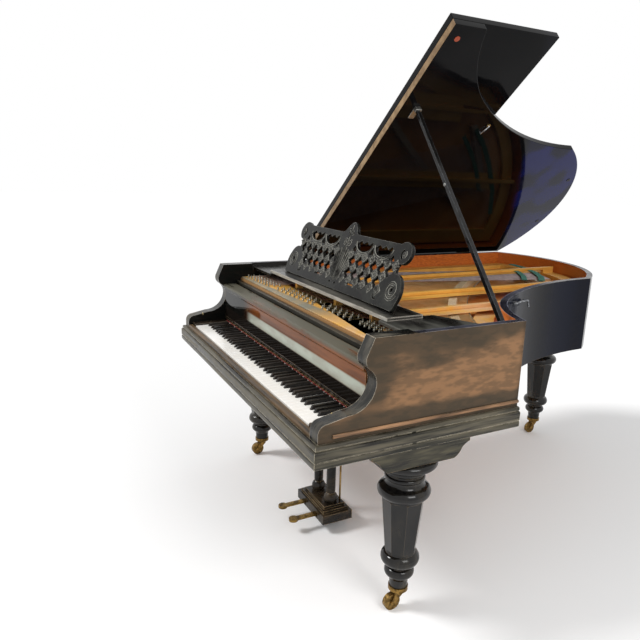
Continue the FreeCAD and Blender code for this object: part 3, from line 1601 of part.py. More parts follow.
leg_nodes = []
ferrules = []
caster_nodes = []
for word, x, y in LEG_PLACES:
    shaft = doc.addObject("Part::Loft", f"{word}_shaft")
    shaft.Sections = [
        octagon(f"{word}_shaft_low", shaft_bottom_flat, x, y, shaft_bottom),
        octagon(f"{word}_shaft_high", shaft_top_flat, x, y, shaft_top),
    ]
    shaft.Solid = True
    shaft.Ruled = True
    upper = turned(f"{word}_upper", upper_profile, x, y)
    lower = turned(f"{word}_lower", lower_profile, x, y)
    socket = rod(f"{word}_socket", (x, y, 0), stem_radius + running_fit, ferrule_bottom + stem_length + 2)
    leg_nodes.append(cut(word, fuse(f"{word}_turning", upper, shaft, lower), socket))
    shell = rod(
        f"{word}_shell",
        (x, y, ferrule_bottom),
        leg_foot_radius + glue_gap + ferrule_wall,
        ferrule_top - ferrule_bottom,
    )
    hollow = rod(
        f"{word}_hollow", (x, y, leg_foot), leg_foot_radius + glue_gap, ferrule_top - leg_foot
    )
    way = rod(f"{word}_way", (x, y, ferrule_bottom), stem_radius + running_fit, leg_foot - ferrule_bottom)
    ferrules.append(cut(f"{word}_ferrule", shell, hollow, way))
    half = wheel_width / 2 + fork_gap
    cheek_outline = [
        (-wheel_trail - fork_eye, wheel_radius),
        (-wheel_trail + fork_eye, wheel_radius, 0.52),
        (fork_crown_radius - 6, crown_top - fork_crown_thickness - 8),
        (fork_crown_radius - 6, crown_top - fork_crown_thickness),
        (-fork_crown_radius + 6, crown_top - fork_crown_thickness),
    ]
    fork_parts = [
        rod(
            f"{word}_crown",
            (x, y, crown_top - fork_crown_thickness),
            fork_crown_radius,
            fork_crown_thickness,
        ),
        rod(f"{word}_stem", (x, y, crown_top), stem_radius, stem_length),
        rod(
            f"{word}_axle",
            (x - half - fork_cheek, y - wheel_trail, wheel_radius),
            axle_radius,
            (half + fork_cheek) * 2,
            "x",
        ),
    ]
    for end, cheek_x in enumerate((x - half - fork_cheek, x + half)):
        fork_parts.append(
            bar(f"{word}_cheek_{end}", "YZ_Plane", cheek_outline, fork_cheek, x=cheek_x, y=y)
        )
    caster = word.replace("_leg", "")
    caster_nodes.append(fuse(f"{caster}_fork", *fork_parts))
    tyre = rod(
        f"{word}_tyre",
        (x - wheel_width / 2, y - wheel_trail, wheel_radius),
        wheel_radius,
        wheel_width,
        "x",
    )
    hub = rod(
        f"{word}_hub",
        (x - wheel_width / 2, y - wheel_trail, wheel_radius),
        axle_radius + running_fit,
        wheel_width,
        "x",
    )
    caster_nodes.append(cut(f"{caster}_wheel", tyre, hub))
caster_cups = group("caster_cups", *ferrules)

# Pedal lyre: hollow box with a stepped top, two turned posts and a block under the keybed
step_top = lyre_bottom + lyre_height
lyre_layers = [
    box(
        "lyre_shell",
        (lyre_x - lyre_half, lyre_x + lyre_half),
        (front + lyre_front, front + lyre_back),
        (lyre_bottom, step_top),
    )
]
for level in (1, 2):
    inset = lyre_step_in * level
    lyre_layers.append(
        box(
            f"lyre_step_{level}",
            (lyre_x - lyre_half + inset, lyre_x + lyre_half - inset),
            (front + lyre_front + inset * 0.6, front + lyre_back - inset * 0.6),
            (step_top + lyre_step * (level - 1), step_top + lyre_step * level),
        )
    )
post_foot = step_top + lyre_step * 2
lyre_hollow = box(
    "lyre_hollow",
    (lyre_x - lyre_half + lyre_wall, lyre_x + lyre_half - lyre_wall),
    (front + lyre_front + lyre_wall, front + lyre_back - lyre_wall),
    (lyre_bottom + lyre_wall, step_top - lyre_wall),
)
lyre_ways = [lyre_hollow]
pedal_nodes = []
block_ways = []
for word, side in (("soft", -1), ("sustain", 1)):
    middle = lyre_x + pedal_spread * side
    lyre_ways.append(
        box(
            f"{word}_slot",
            (middle - pedal_width / 2 - 2, middle + pedal_width / 2 + 2),
            (front + lyre_front, front + lyre_front + lyre_wall),
            (pedal_height - pedal_thickness / 2 - 7, pedal_height + pedal_thickness / 2 + 2),
        )
    )
    lyre_ways.append(
        rod(
            f"{word}_rod_way",
            (middle, front + rod_back, step_top - lyre_wall),
            rod_radius + seat_gap,
            lyre_wall + lyre_step * 2,
        )
    )
    block_ways.append(
        rod(
            f"{word}_block_way",
            (middle, front + rod_back, block_bottom),
            rod_radius + seat_gap,
            panel_bottom - block_bottom,
        )
    )
    lever = box(
        f"{word}_lever",
        (middle - pedal_width / 2, middle + pedal_width / 2),
        (front + pedal_tip + pedal_pad, front + pedal_end),
        (pedal_height - pedal_thickness / 2, pedal_height + pedal_thickness / 2),
    )
    tread = rod(
        f"{word}_tread",
        (middle, front + pedal_tip + pedal_pad, pedal_height - pedal_thickness / 2),
        pedal_pad,
        pedal_thickness,
    )
    eye = rod(
        f"{word}_eye",
        (middle - pedal_width / 2, front + pedal_pivot_back, pedal_height),
        pin_radius + running_fit,
        pedal_width,
        "x",
    )
    pedal_nodes.append(cut(f"{word}_pedal", fuse(f"{word}_pedal_shape", lever, tread), eye))
    rod_foot = pedal_height + pedal_thickness / 2 + seat_gap
    pedal_nodes.append(
        rod(f"{word}_pedal_rod", (middle, front + rod_back, rod_foot), rod_radius, rod_top - rod_foot)
    )
pedal_axle = rod(
    "pedal_axle",
    (lyre_x - lyre_half + lyre_wall, front + pedal_pivot_back, pedal_height),
    pin_radius,
    (lyre_half - lyre_wall) * 2,
    "x",
)
lyre_case = cut("lyre_case", fuse("lyre_layers", *lyre_layers), *lyre_ways)
lyre_box = fuse("lyre_box", lyre_case, pedal_axle)
post_profile = [
    (0, post_foot),
    (post_bulb - 3, post_foot),
    (post_bulb - 8, post_foot + 40, 0.744),
    (post_radius, post_foot + 52),
    (post_radius, block_bottom - 40),
    (post_bulb - 3, block_bottom - 26),
    (post_bulb - 3, block_bottom),
    (0, block_bottom),
]
lyre_pieces = []
for word, side in (("soft", -1), ("sustain", 1)):
    lyre_pieces.append(
        turned(f"{word}_post", post_profile, lyre_x + post_spread * side, front + post_back)
    )
lyre_head = box(
    "lyre_head",
    (lyre_x - lyre_half + lyre_step_in, lyre_x + lyre_half - lyre_step_in),
    (front + lyre_front + 20, front + lyre_back + 8),
    (block_bottom, panel_bottom),
)
lyre_pieces.append(cut("lyre_block", lyre_head, *block_ways))
lyre_posts = group("lyre_posts", *lyre_pieces)
doc.recompute()

# Check every feature, then write one file for each sub-part
nodes = [outer_rim, inner_rim, frame_beams, soundboard, soundboard_ribs, bridges, iron_plate, pin_block]
nodes += [tuning_pins, treble_strings, bass_strings, damper_heads, keybed, bass_arm, treble_arm]
nodes += [key_slip, key_blocks, base_moulding, side_beads, nameboard_rail, fallboard, *key_nodes]
nodes += [key_frame, action_rail, main_lid, front_lid, lid_hinges, lid_leaves, lid_prop, prop_bracket]
nodes += [prop_cup, lid_buffers, desk_wings, music_shelf, desk_struts, music_desk, leg_brackets]
nodes += [*leg_nodes, caster_cups, *caster_nodes, lyre_box, lyre_posts, *pedal_nodes]
for item in doc.Objects:
    if "Invalid" in item.State or "Error" in item.State:
        raise RuntimeError(f"{item.Name} did not build: {item.State}")
os.makedirs("parts", exist_ok=True)
for node in nodes:
    node.Label = node.Name
    if node.Shape.isNull() or not node.Shape.isValid():
        raise RuntimeError(f"{node.Name} has no valid shape")
    node.Shape.exportStep(f"parts/{node.Name}.step")
print(len(nodes), "sub-parts written")
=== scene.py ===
import bmesh
import bpy
import math
from mathutils import Matrix, Vector


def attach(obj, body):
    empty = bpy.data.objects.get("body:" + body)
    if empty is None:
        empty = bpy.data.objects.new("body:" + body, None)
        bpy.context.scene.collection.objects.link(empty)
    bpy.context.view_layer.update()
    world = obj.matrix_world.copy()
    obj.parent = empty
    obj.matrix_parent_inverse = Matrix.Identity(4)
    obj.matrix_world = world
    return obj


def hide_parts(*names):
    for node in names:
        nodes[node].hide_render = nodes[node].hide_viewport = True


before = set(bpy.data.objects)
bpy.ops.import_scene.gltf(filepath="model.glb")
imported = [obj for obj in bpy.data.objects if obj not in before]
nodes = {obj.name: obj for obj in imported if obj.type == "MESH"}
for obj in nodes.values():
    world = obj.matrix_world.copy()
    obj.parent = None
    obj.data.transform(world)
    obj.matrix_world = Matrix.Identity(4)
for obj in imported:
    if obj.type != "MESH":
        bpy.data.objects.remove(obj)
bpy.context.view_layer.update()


# Outer rim: the bent case wall of laminated beech, ebonised and polished outside, veneered inside.
# Its straight treble side is rubbed through to brown wood, the bends and the spine keep their gloss.
ARM_SEAM = -0.665
SKIRT = 0.70
RIM_TOP = 0.97
CASE_MIDDLE = Vector((-0.45, -0.3))
# Stretches over which one finish gives way to the next, across, along or up.
SIDE_FACE = {"From Min": 0.70, "From Max": 0.711}
SIDE_END = {"From Min": -0.23, "From Max": -0.27}
SIDE_BORDER = {"From Min": 1.035, "From Max": 0.93}
SIDE_SCROLL = {"From Min": -0.70, "From Max": -0.82, "To Max": 0.09}
VENEER_START = {"From Min": -0.36, "From Max": -0.33}
# Settings for a stretch with soft ends and for a mix of two colours, and that mix's three inputs.
SMOOTH = {"interpolation_type": "SMOOTHSTEP"}
BLEND = {"output": 2, "data_type": "RGBA"}
SHARE = 0
FIRST = 6
SECOND = 7


def linear(code):
    """Linear colour of an sRGB hex code."""
    parts = [int(code[start : start + 2], 16) / 255 for start in (0, 2, 4)]
    return [part / 12.92 if part <= 0.04045 else ((part + 0.055) / 1.055) ** 2.4 for part in parts] + [1]


def add(tree, kind, inputs, output=0, **settings):
    """One node: settings first, then a link, a number or a hex colour for each input; gives an output."""
    node = tree.nodes.new("ShaderNode" + kind)
    for name, value in settings.items():
        setattr(node, name, value)
    for socket, value in inputs.items():
        if isinstance(value, bpy.types.NodeSocket):
            tree.links.new(value, node.inputs[socket])
        else:
            node.inputs[socket].default_value = linear(value) if isinstance(value, str) else value
    return node.outputs[output] if node.outputs else node


def blank(name):
    """A material with an empty node tree, and each point's place in the shared frame, in metres."""
    material = bpy.data.materials.new(name)
    material.use_nodes = True
    tree = material.node_tree
    tree.nodes.clear()
    return material, tree, add(tree, "TexCoord", {}, "Object")


def speckle(tree, place, size, stretch=(1, 1, 1), detail=5.0, low=0.35, high=0.65):
    """Cloudy noise from 0 to 1 with patches of about the given size in millimetres."""
    scaled = add(tree, "Mapping", {"Vector": place, "Scale": [1000 / (size * part) for part in stretch]})
    cloud = add(tree, "TexNoise", {"Vector": scaled, "Scale": 1.0, "Detail": detail, "Roughness": 0.6})
    return add(tree, "MapRange", {"Value": cloud, "From Min": low, "From Max": high}, **SMOOTH)


def rubbed_edges(tree, place, reach, patch):
    """Where corners have been rubbed: near an edge, in patches, but not at the glued seam of arm and rim."""
    rounded = add(tree, "Bevel", {"Radius": reach}, samples=6)
    true = add(tree, "NewGeometry", {}, "Normal")
    turn = add(tree, "VectorMath", {0: rounded, 1: true}, "Value", operation="DOT_PRODUCT")
    near = add(tree, "MapRange", {"Value": turn, "From Min": 0.99, "From Max": 0.86}, **SMOOTH)
    along = add(tree, "SeparateXYZ", {0: place}, "Y")
    seam = add(tree, "Math", {0: along, 1: ARM_SEAM}, operation="SUBTRACT")
    seam = add(tree, "Math", {0: seam}, operation="ABSOLUTE")
    clear = add(tree, "MapRange", {"Value": seam, "From Min": 0.006, "From Max": 0.009}, **SMOOTH)
    edges = add(tree, "Math", {0: near, 1: clear}, operation="MULTIPLY")
    patches = speckle(tree, place, patch, low=0.3, high=0.55)
    return add(tree, "Math", {0: edges, 1: patches}, operation="MULTIPLY")


def ebonised(name, worn, edge, wear, gloss, along=(1, 5, 1), black="0c0b0b", reach=0.004, zone=None,
             patch=90, mirror=0.25, bloom=None):
    """Black polish on wood: hazy gloss, 3 mm brush marks, brown where it is thin, bare wood at the edges,
    with vertical bands of painted reflection when a bloom colour is given.
    """
    material, tree, place = blank(name)
    middle = 0.76 - wear * 0.52
    thin = speckle(tree, place, patch, along, detail=3.0, low=middle - 0.16, high=middle + 0.16)
    fine = speckle(tree, place, 3, [4 * part for part in along], detail=2.0)
    marks = add(tree, "MapRange", {"Value": fine, "To Min": 0.6}, **SMOOTH)
    rubbed = add(tree, "Math", {0: thin, 1: marks}, operation="MULTIPLY")
    edges = rubbed_edges(tree, place, reach, 30)
    ground = add(tree, "Mix", {SHARE: fine, FIRST: black, SECOND: "171513"}, **BLEND)
    # Painted reflection: vertical bands of the bloom colour over the black.
    if bloom:
        reflection_bands = speckle(tree, place, 160, (1, 1, 12), detail=0.0, low=0.2, high=0.8)
        ground = add(tree, "Mix", {SHARE: reflection_bands, FIRST: ground, SECOND: bloom}, **BLEND)
    if zone:
        side, kept = zone(tree, place)
        smoke = add(tree, "Mix", {SHARE: thin, FIRST: "1d211f", SECOND: "36352e"}, **BLEND)
        ground = add(tree, "Mix", {SHARE: side, FIRST: ground, SECOND: smoke}, **BLEND)
        rubbed = add(tree, "Math", {0: rubbed, 1: kept}, operation="MULTIPLY")
        bared = add(tree, "MapRange", {"Value": kept, "To Min": 0.25}, **SMOOTH)
        edges = add(tree, "Math", {0: edges, 1: bared}, operation="MULTIPLY")
    coat = add(tree, "Mix", {SHARE: rubbed, FIRST: ground, SECOND: worn}, **BLEND)
    colour = add(tree, "Mix", {SHARE: edges, FIRST: coat, SECOND: edge}, **BLEND)
    haze = speckle(tree, place, 50, low=0.2, high=0.8)
    rough = add(tree, "MapRange", {"Value": haze, "To Min": gloss, "To Max": gloss + 0.1}, **SMOOTH)
    dulled = add(tree, "Math", {0: rubbed, 1: 0.3}, operation="MULTIPLY")
    rough = add(tree, "Math", {0: rough, 1: dulled}, operation="ADD", use_clamp=True)
    relief = add(tree, "Bump", {"Height": fine, "Distance": 0.00004})
    surface = {"Base Color": colour, "Roughness": rough, "Normal": relief, "Specular IOR Level": mirror}
    add(tree, "OutputMaterial", {"Surface": add(tree, "BsdfPrincipled", surface)})
    return material


def rubbed_side(tree, place):
    """The straight treble side, rubbed below a smoky dark border that hands have left along the top."""
    across, along, up = [add(tree, "SeparateXYZ", {0: place}, axis) for axis in "XYZ"]
    outside = add(tree, "MapRange", {"Value": across, **SIDE_FACE}, **SMOOTH)
    straight = add(tree, "MapRange", {"Value": along, **SIDE_END}, **SMOOTH)
    side = add(tree, "Math", {0: outside, 1: straight}, operation="MULTIPLY")
    smoke = speckle(tree, place, 200, (1, 2.2, 1), detail=3.0, low=0.25, high=0.75)
    border = add(tree, "Math", {0: smoke, 1: 0.17, 2: up}, operation="MULTIPLY_ADD")
    lowered = add(tree, "MapRange", {"Value": along, **SIDE_SCROLL}, **SMOOTH)
    border = add(tree, "Math", {0: border, 1: lowered}, operation="ADD")
    under = add(tree, "MapRange", {"Value": border, **SIDE_BORDER}, **SMOOTH)
    foot = add(tree, "Math", {0: smoke, 1: -0.05, 2: up}, operation="MULTIPLY_ADD")
    over = add(tree, "MapRange", {"Value": foot, "From Min": SKIRT, "From Max": SKIRT + 0.035}, **SMOOTH)
    kept = add(tree, "Math", {0: under, 1: over}, operation="MULTIPLY")
    kept = add(tree, "MapRange", {"Value": kept, "To Min": 0.2}, **SMOOTH)
    return side, add(tree, "Math", {0: side, 1: kept}, operation="MULTIPLY")


def finish(material, *names):
    """Give CAD nodes this material alone."""
    for name in names:
        slots = nodes[name].data.materials
        slots.clear()
        slots.append(material)


# Old french polish: blue black and smooth on the bends with vertical bands of painted blue reflection, smoky
# with bare brown wood on the treble side.
rim_polish = ebonised("ebonised_rim", "8b694c", "a18a6c", 0.9, 0.1, (1, 5, 1.6), "0b0c11", 0.003, rubbed_side,
                      patch=140, mirror=0.06, bloom="121522")
finish(rim_polish, "outer_rim")
# Mahogany veneer: glossy orange with a straight grain, stained black in front of the strings.
rim_veneer, tree, place = blank("mahogany_veneer")
grain = speckle(tree, place, 3, (1, 6, 1), detail=4.0)
veneer = add(tree, "Mix", {SHARE: grain, FIRST: "d9772f", SECOND: "b4591f"}, **BLEND)
along = add(tree, "SeparateXYZ", {0: place}, "Y")
behind = add(tree, "MapRange", {"Value": along, **VENEER_START}, **SMOOTH)
veneer = add(tree, "Mix", {SHARE: behind, FIRST: "1a1714", SECOND: veneer}, **BLEND)
surface = {"Base Color": veneer, "Roughness": 0.3}
add(tree, "OutputMaterial", {"Surface": add(tree, "BsdfPrincipled", surface)})
nodes["outer_rim"].data.materials.append(rim_veneer)
# Polish on the narrow top: grey-blue patches with pale bluish corners, a painted highlight on the faces that
# look up.
rim_top_highlight = ebonised("rim_top_painted_highlight", "4a4b57", "c3c6d8", 0.45, 0.16, (6, 6, 1), "14141a", 0.003)
nodes["outer_rim"].data.materials.append(rim_top_highlight)
for face in nodes["outer_rim"].data.polygons:
    outward = face.normal.xy.dot(face.center.xy - CASE_MIDDLE)
    # Faces that look up on the top get the painted highlight.
    if face.normal.z > 0.9 and face.center.z > RIM_TOP:
        face.material_index = 2
    elif outward < -0.01 and abs(face.normal.z) < 0.5:
        face.material_index = 1


# Inner rim, beams and belly rail: plain beech glued inside the case, never polished.
# They carry the soundboard and the plate; they show only from underneath.
def wood(name, light, dark, along, ring, gloss, patch=150):
    """Planed wood: grain lines a few millimetres apart along one direction and slow clouds of colour."""
    material, tree, place = blank(name)
    grain = speckle(tree, place, ring, along, detail=4.0)
    lines = add(tree, "Math", {0: grain, 1: 0.7}, operation="MULTIPLY")
    colour = add(tree, "Mix", {SHARE: lines, FIRST: light, SECOND: dark}, **BLEND)
    cloud = speckle(tree, place, patch, along, detail=3.0, low=0.3, high=0.7)
    cloud = add(tree, "Math", {0: cloud, 1: 0.5}, operation="MULTIPLY")
    colour = add(tree, "Mix", {SHARE: cloud, FIRST: colour, SECOND: dark}, **BLEND)
    rough = add(tree, "MapRange", {"Value": grain, "To Min": gloss, "To Max": gloss + 0.15}, **SMOOTH)
    relief = add(tree, "Bump", {"Height": grain, "Distance": 0.00008})
    surface = {"Base Color": colour, "Roughness": rough, "Normal": relief}
    add(tree, "OutputMaterial", {"Surface": add(tree, "BsdfPrincipled", surface)})
    return material


def soften(width, *names):
    """Round the sharp edges of CAD nodes a little, as sanding and polishing does."""
    for name in names:
        weld = nodes[name].modifiers.new("weld", "WELD")
        weld.merge_threshold = 0.00001
        flat = nodes[name].modifiers.new("flat", "DECIMATE")
        flat.decimate_type = "DISSOLVE"
        flat.angle_limit = math.radians(0.5)
        edge = nodes[name].modifiers.new("edge", "BEVEL")
        edge.width = width
        edge.segments = 2
        edge.limit_method = "ANGLE"
        edge.angle_limit = math.radians(40)
        edge.use_clamp_overlap = True
        nodes[name].modifiers.new("shade", "WEIGHTED_NORMAL")


# Raw beech: a plain matt tan.
beech = wood("raw_beech", "a9825a", "7d5a39", (1, 6, 1), 5, 0.6)
finish(beech, "inner_rim", "frame_beams")
soften(0.0012, "inner_rim", "frame_beams")

# Soundboard: thin quarter-sawn spruce boards glued edge to edge and varnished orange.
# Ribs are glued across its underside, the bridges of pale maple stand on top, grey with dust.
GRAIN_TURN = math.radians(38)
# Varnished spruce: glossy orange boards with close straight lines, dulled here and there by dust.
spruce, tree, place = blank("varnished_spruce")
turned = add(tree, "Mapping", {"Vector": place, "Rotation": (0, 0, GRAIN_TURN)})
lines = speckle(tree, turned, 2.5, (1, 40, 1), detail=3.0)
colour = add(tree, "Mix", {SHARE: lines, FIRST: "f2ac5e", SECOND: "de9448"}, **BLEND)
boards = speckle(tree, turned, 100, (1, 12, 1), detail=0.0)
colour = add(tree, "Mix", {SHARE: boards, FIRST: colour, SECOND: "d2863f"}, **BLEND)
dust = speckle(tree, place, 120, low=0.45, high=0.75)
dust = add(tree, "Math", {0: dust, 1: 0.35}, operation="MULTIPLY")
colour = add(tree, "Mix", {SHARE: dust, FIRST: colour, SECOND: "b79a78"}, **BLEND)
relief = add(tree, "Bump", {"Height": lines, "Distance": 0.00005})
surface = {"Base Color": colour, "Roughness": 0.3, "Normal": relief}
add(tree, "OutputMaterial", {"Surface": add(tree, "BsdfPrincipled", surface)})
finish(spruce, "soundboard")
# Planed spruce is yellow and dry, planed maple pale and close.
finish(wood("rib_spruce", "c59a63", "a3784a", (6, 1, 1), 4, 0.55), "soundboard_ribs")
finish(wood("bridge_maple", "d6c6b0", "b19c84", (6, 4, 1), 3, 0.5), "bridges")
soften(0.001, "soundboard_ribs", "bridges")

# Iron plate: one casting with a flange round the case, a web over the pin block and three bars.
# Sprayed with bronze powder in lacquer, a little sandy from the mould, and screwed down.
PIN_SLANT = 0.045
TREBLE_DUST = {"From Min": 0.1, "From Max": 0.5}
BASS_GREYING = {"From Min": 0.3, "From Max": 0.05}
PIN_LIP = {"From Min": -0.672, "From Max": -0.682}
# Bronze powder in lacquer: warm gold with a sandy skin, pale with dust at the treble, greyer in front of the
# pins towards the bass.
bronze, tree, place = blank("bronze_lacquer")
across, along = [add(tree, "SeparateXYZ", {0: place}, axis) for axis in "XY"]
tone = speckle(tree, place, 90, low=0.3, high=0.7)
gold = add(tree, "Mix", {SHARE: tone, FIRST: "f3bb58", SECOND: "e0a548"}, **BLEND)
sand = speckle(tree, place, 2, detail=3.0)
pits = add(tree, "Math", {0: sand, 1: 0.35}, operation="MULTIPLY")
treble = add(tree, "MapRange", {"Value": across, **TREBLE_DUST}, **SMOOTH)
dust = add(tree, "Math", {0: treble, 1: tone}, operation="MULTIPLY")
dust = add(tree, "Math", {0: dust, 1: 0.75}, operation="MULTIPLY")
rows = add(tree, "Math", {0: across, 1: -PIN_SLANT, 2: along}, operation="MULTIPLY_ADD")
lip = add(tree, "MapRange", {"Value": rows, **PIN_LIP}, **SMOOTH)
# Greyer in front of the pins towards the bass end, in patches.
bass = add(tree, "MapRange", {"Value": across, **BASS_GREYING}, **SMOOTH)
grey_lip = add(tree, "Math", {0: lip, 1: bass}, operation="MULTIPLY")
patches = add(tree, "MapRange", {"Value": tone, "To Min": 0.7, "To Max": 0.95}, **SMOOTH)
grey_lip = add(tree, "Math", {0: grey_lip, 1: patches}, operation="MULTIPLY")
for share, shade in ((pits, "b98a3f"), (dust, "e0c6ae"), (grey_lip, "808173")):
    gold = add(tree, "Mix", {SHARE: share, FIRST: gold, SECOND: shade}, **BLEND)
rough = add(tree, "MapRange", {"Value": sand, "To Min": 0.34, "To Max": 0.5}, **SMOOTH)
relief = add(tree, "Bump", {"Height": sand, "Distance": 0.00012})
surface = {"Base Color": gold, "Metallic": 0.2, "Roughness": rough, "Normal": relief}
add(tree, "OutputMaterial", {"Surface": add(tree, "BsdfPrincipled", surface)})
finish(bronze, "iron_plate")
soften(0.002, "iron_plate")
# Planed maple again, brown with age.
finish(wood("pin_block_maple", "b58a58", "8c6539", (6, 1, 1), 3, 0.5), "pin_block")

# Tuning pins: steel pins with a square head, driven through the web into the pin block.
# Each stands in a wooden bushing and carries three turns of wire; one is modelled and set 88 times.
TREBLE_SECTIONS = ((-0.287, 0.013, 25), (0.078, 0.013, 18), (0.348, 0.0096, 21))
BASS_FIRST = -0.612
BASS_PITCH = 0.0108
BASS_NOTES = 24
PIN_FOOT = 0.9182
PIN_ROWS = 3
ROW_FIRST = -0.701
ROW_PITCH = 0.022
ROW_START = -0.611
SHANK = 0.009
SHANK_RADIUS = 0.0028
HEAD = 0.007
HEAD_RADIUS = 0.0029
HEAD_FOOT = 0.008
BUSHING = 0.0014
BUSHING_RADIUS = 0.0052
TURNS = 3
TURNS_FOOT = 0.004
TURN_PITCH = 0.0015
TURN_RADIUS = 0.0034
WIRE_RADIUS = 0.0007
bass_starts = [BASS_FIRST + BASS_PITCH * note for note in range(BASS_NOTES)]
treble_starts = [start + pitch * note for start, pitch, count in TREBLE_SECTIONS for note in range(count)]


def pin_place(across, note):
    """Front-to-back place of a note's pin: three rows that run back towards the treble."""
    return ROW_FIRST + ROW_PITCH * (note % PIN_ROWS) + (across - ROW_START) * PIN_SLANT


def metal(name, colour, tarnish, rough, patch=20, shine=0.95):
    """Bare metal: clouds of tarnish, uneven sheen, scratches drawn 1.2 mm apart so that they show."""
    material, tree, place = blank(name)
    cloud = speckle(tree, place, patch, low=0.35, high=0.7)
    colour = add(tree, "Mix", {SHARE: cloud, FIRST: colour, SECOND: tarnish}, **BLEND)
    sheen = add(tree, "MapRange", {"Value": cloud, "To Min": rough, "To Max": rough + 0.22}, **SMOOTH)
    scratch = speckle(tree, place, 1.2, (1, 1, 8), detail=2.0)
    relief = add(tree, "Bump", {"Height": scratch, "Distance": 0.00003})
    surface = {"Base Color": colour, "Metallic": shine, "Roughness": sheen, "Normal": relief}
    add(tree, "OutputMaterial", {"Surface": add(tree, "BsdfPrincipled", surface)})
    return material


def hold(*pieces):
    """Select these pieces alone; the first one is the active one."""
    bpy.ops.object.select_all(action="DESELECT")
    for piece in pieces:
        piece.select_set(True)
    bpy.context.view_layer.objects.active = pieces[0]


def settle(piece, name, material, body):
    """Name a finished piece, bake its place into the mesh, give it its material and its body."""
    hold(piece)
    bpy.ops.object.transform_apply(location=True, rotation=True, scale=True)
    piece.name = name
    piece.data.name = name
    piece.data.materials.clear()
    piece.data.materials.append(material)
    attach(piece, body)


def joined(pieces):
    """Several meshes as one piece."""
    hold(*pieces)
    bpy.ops.object.join()
    return pieces[0]


def copies(pattern, placings):
    """Copies of a modelled piece, each with its own mesh, put in place by matrices; the pattern goes."""
    made = []
    for placing in placings:
        copy = pattern.copy()
        copy.data = pattern.data.copy()
        copy.data.transform(placing)
        bpy.context.collection.objects.link(copy)
        made.append(copy)
    bpy.data.objects.remove(pattern)
    return joined(made)


bpy.ops.object.select_all(action="DESELECT")
pin_parts = []
rounds = ((10, SHANK_RADIUS, SHANK, 0), (4, HEAD_RADIUS, HEAD, HEAD_FOOT), (10, BUSHING_RADIUS, BUSHING, 0))
for sides, radius, tall, foot in rounds:
    middle = (0, 0, foot + tall / 2)
    bpy.ops.mesh.primitive_cylinder_add(vertices=sides, radius=radius, depth=tall, location=middle)
    pin_parts.append(bpy.context.object)
for turn in range(TURNS):
    bpy.ops.mesh.primitive_torus_add(
        major_radius=TURN_RADIUS, minor_radius=WIRE_RADIUS, major_segments=10, minor_segments=4,
        location=(0, 0, TURNS_FOOT + TURN_PITCH * turn),
    )
    pin_parts.append(bpy.context.object)
hold(*pin_parts)
bpy.ops.object.transform_apply(location=True, rotation=True, scale=True)
pin_spots = []
for starts in (bass_starts, treble_starts):
    for note, across in enumerate(starts):
        pin_spots.append(Matrix.Translation((across, pin_place(across, note), PIN_FOOT)))
pin_set = copies(joined(pin_parts), pin_spots)
# Old steel: dull silver with grey tarnish.
settle(pin_set, "tuning_pin_set", metal("pin_steel", "aba99c", "6a675d", 0.35, 6), "case")
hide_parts("tuning_pins")

# Strings: two bright steel wires to each treble note, two copper-wound ones to each bass note.
# Each runs from its pin over the nut and the bridge to a hitch pin on the plate's flange.
BRIDGE_NEAR = Vector((0.55, -0.355))
BRIDGE_FAR = Vector((-0.43, 0.603))
BRIDGE_BOW = 0.48
NUT_PLACE = -0.555
HITCH_GAP = 0.055
TREBLE_LEAN = 0.32
LEAN_START = 0.028
PIN_SIDE = Vector((0.0035, 0.002))
STEEL_RADIUS = 0.00032
STEEL_START = 0.9225
STEEL_LEVEL = 0.9228
STEEL_APART = 0.002
STEEL_SHIFT = 0.0008
COPPER_RADIUS = 0.0011
COPPER_START = 0.9235
COPPER_LEVEL = 0.9278
COPPER_APART = 0.0022
COPPER_SHIFT = 0.0012
BASS_LEAN = 0.29
BASS_END = 0.8025
BASS_END_PITCH = 0.005
HITCH_RADIUS = 0.0016
HITCH_FOOT = 0.9155
HITCH_TOP = 0.9258


def bridge_place(across):
    """Front-to-back place of the treble bridge at a place across the case."""
    share = (BRIDGE_NEAR.x - across) / (BRIDGE_NEAR.x - BRIDGE_FAR.x)
    return BRIDGE_NEAR.y + (BRIDGE_FAR.y - BRIDGE_NEAR.y) * (share - BRIDGE_BOW * share * (1 - share))


def meshed(curve, paths, closed=False):
    """Runs of points added to a curve, which is then made a mesh."""
    for path in paths:
        spline = curve.splines.new("POLY")
        spline.points.add(len(path) - 1)
        for point, spot in zip(spline.points, path):
            point.co = (*spot, 1)
        spline.use_cyclic_u = closed
    piece = bpy.data.objects.new(curve.name, curve)
    bpy.context.collection.objects.link(piece)
    hold(piece)
    bpy.ops.object.convert(target="MESH")
    return bpy.context.object


def wires(name, paths, radius, sides=0):
    """Thin round wires along straight runs of points, as one mesh."""
    curve = bpy.data.curves.new(name, "CURVE")
    curve.dimensions = "3D"
    curve.bevel_depth = radius
    curve.bevel_resolution = sides
    curve.use_fill_caps = True
    return meshed(curve, paths)


def treble_end(across):
    """Far end of a treble note on the plate's flange."""
    slanted = across + min(TREBLE_LEAN * (across - LEAN_START), 0)
    return slanted, bridge_place(slanted) + HITCH_GAP


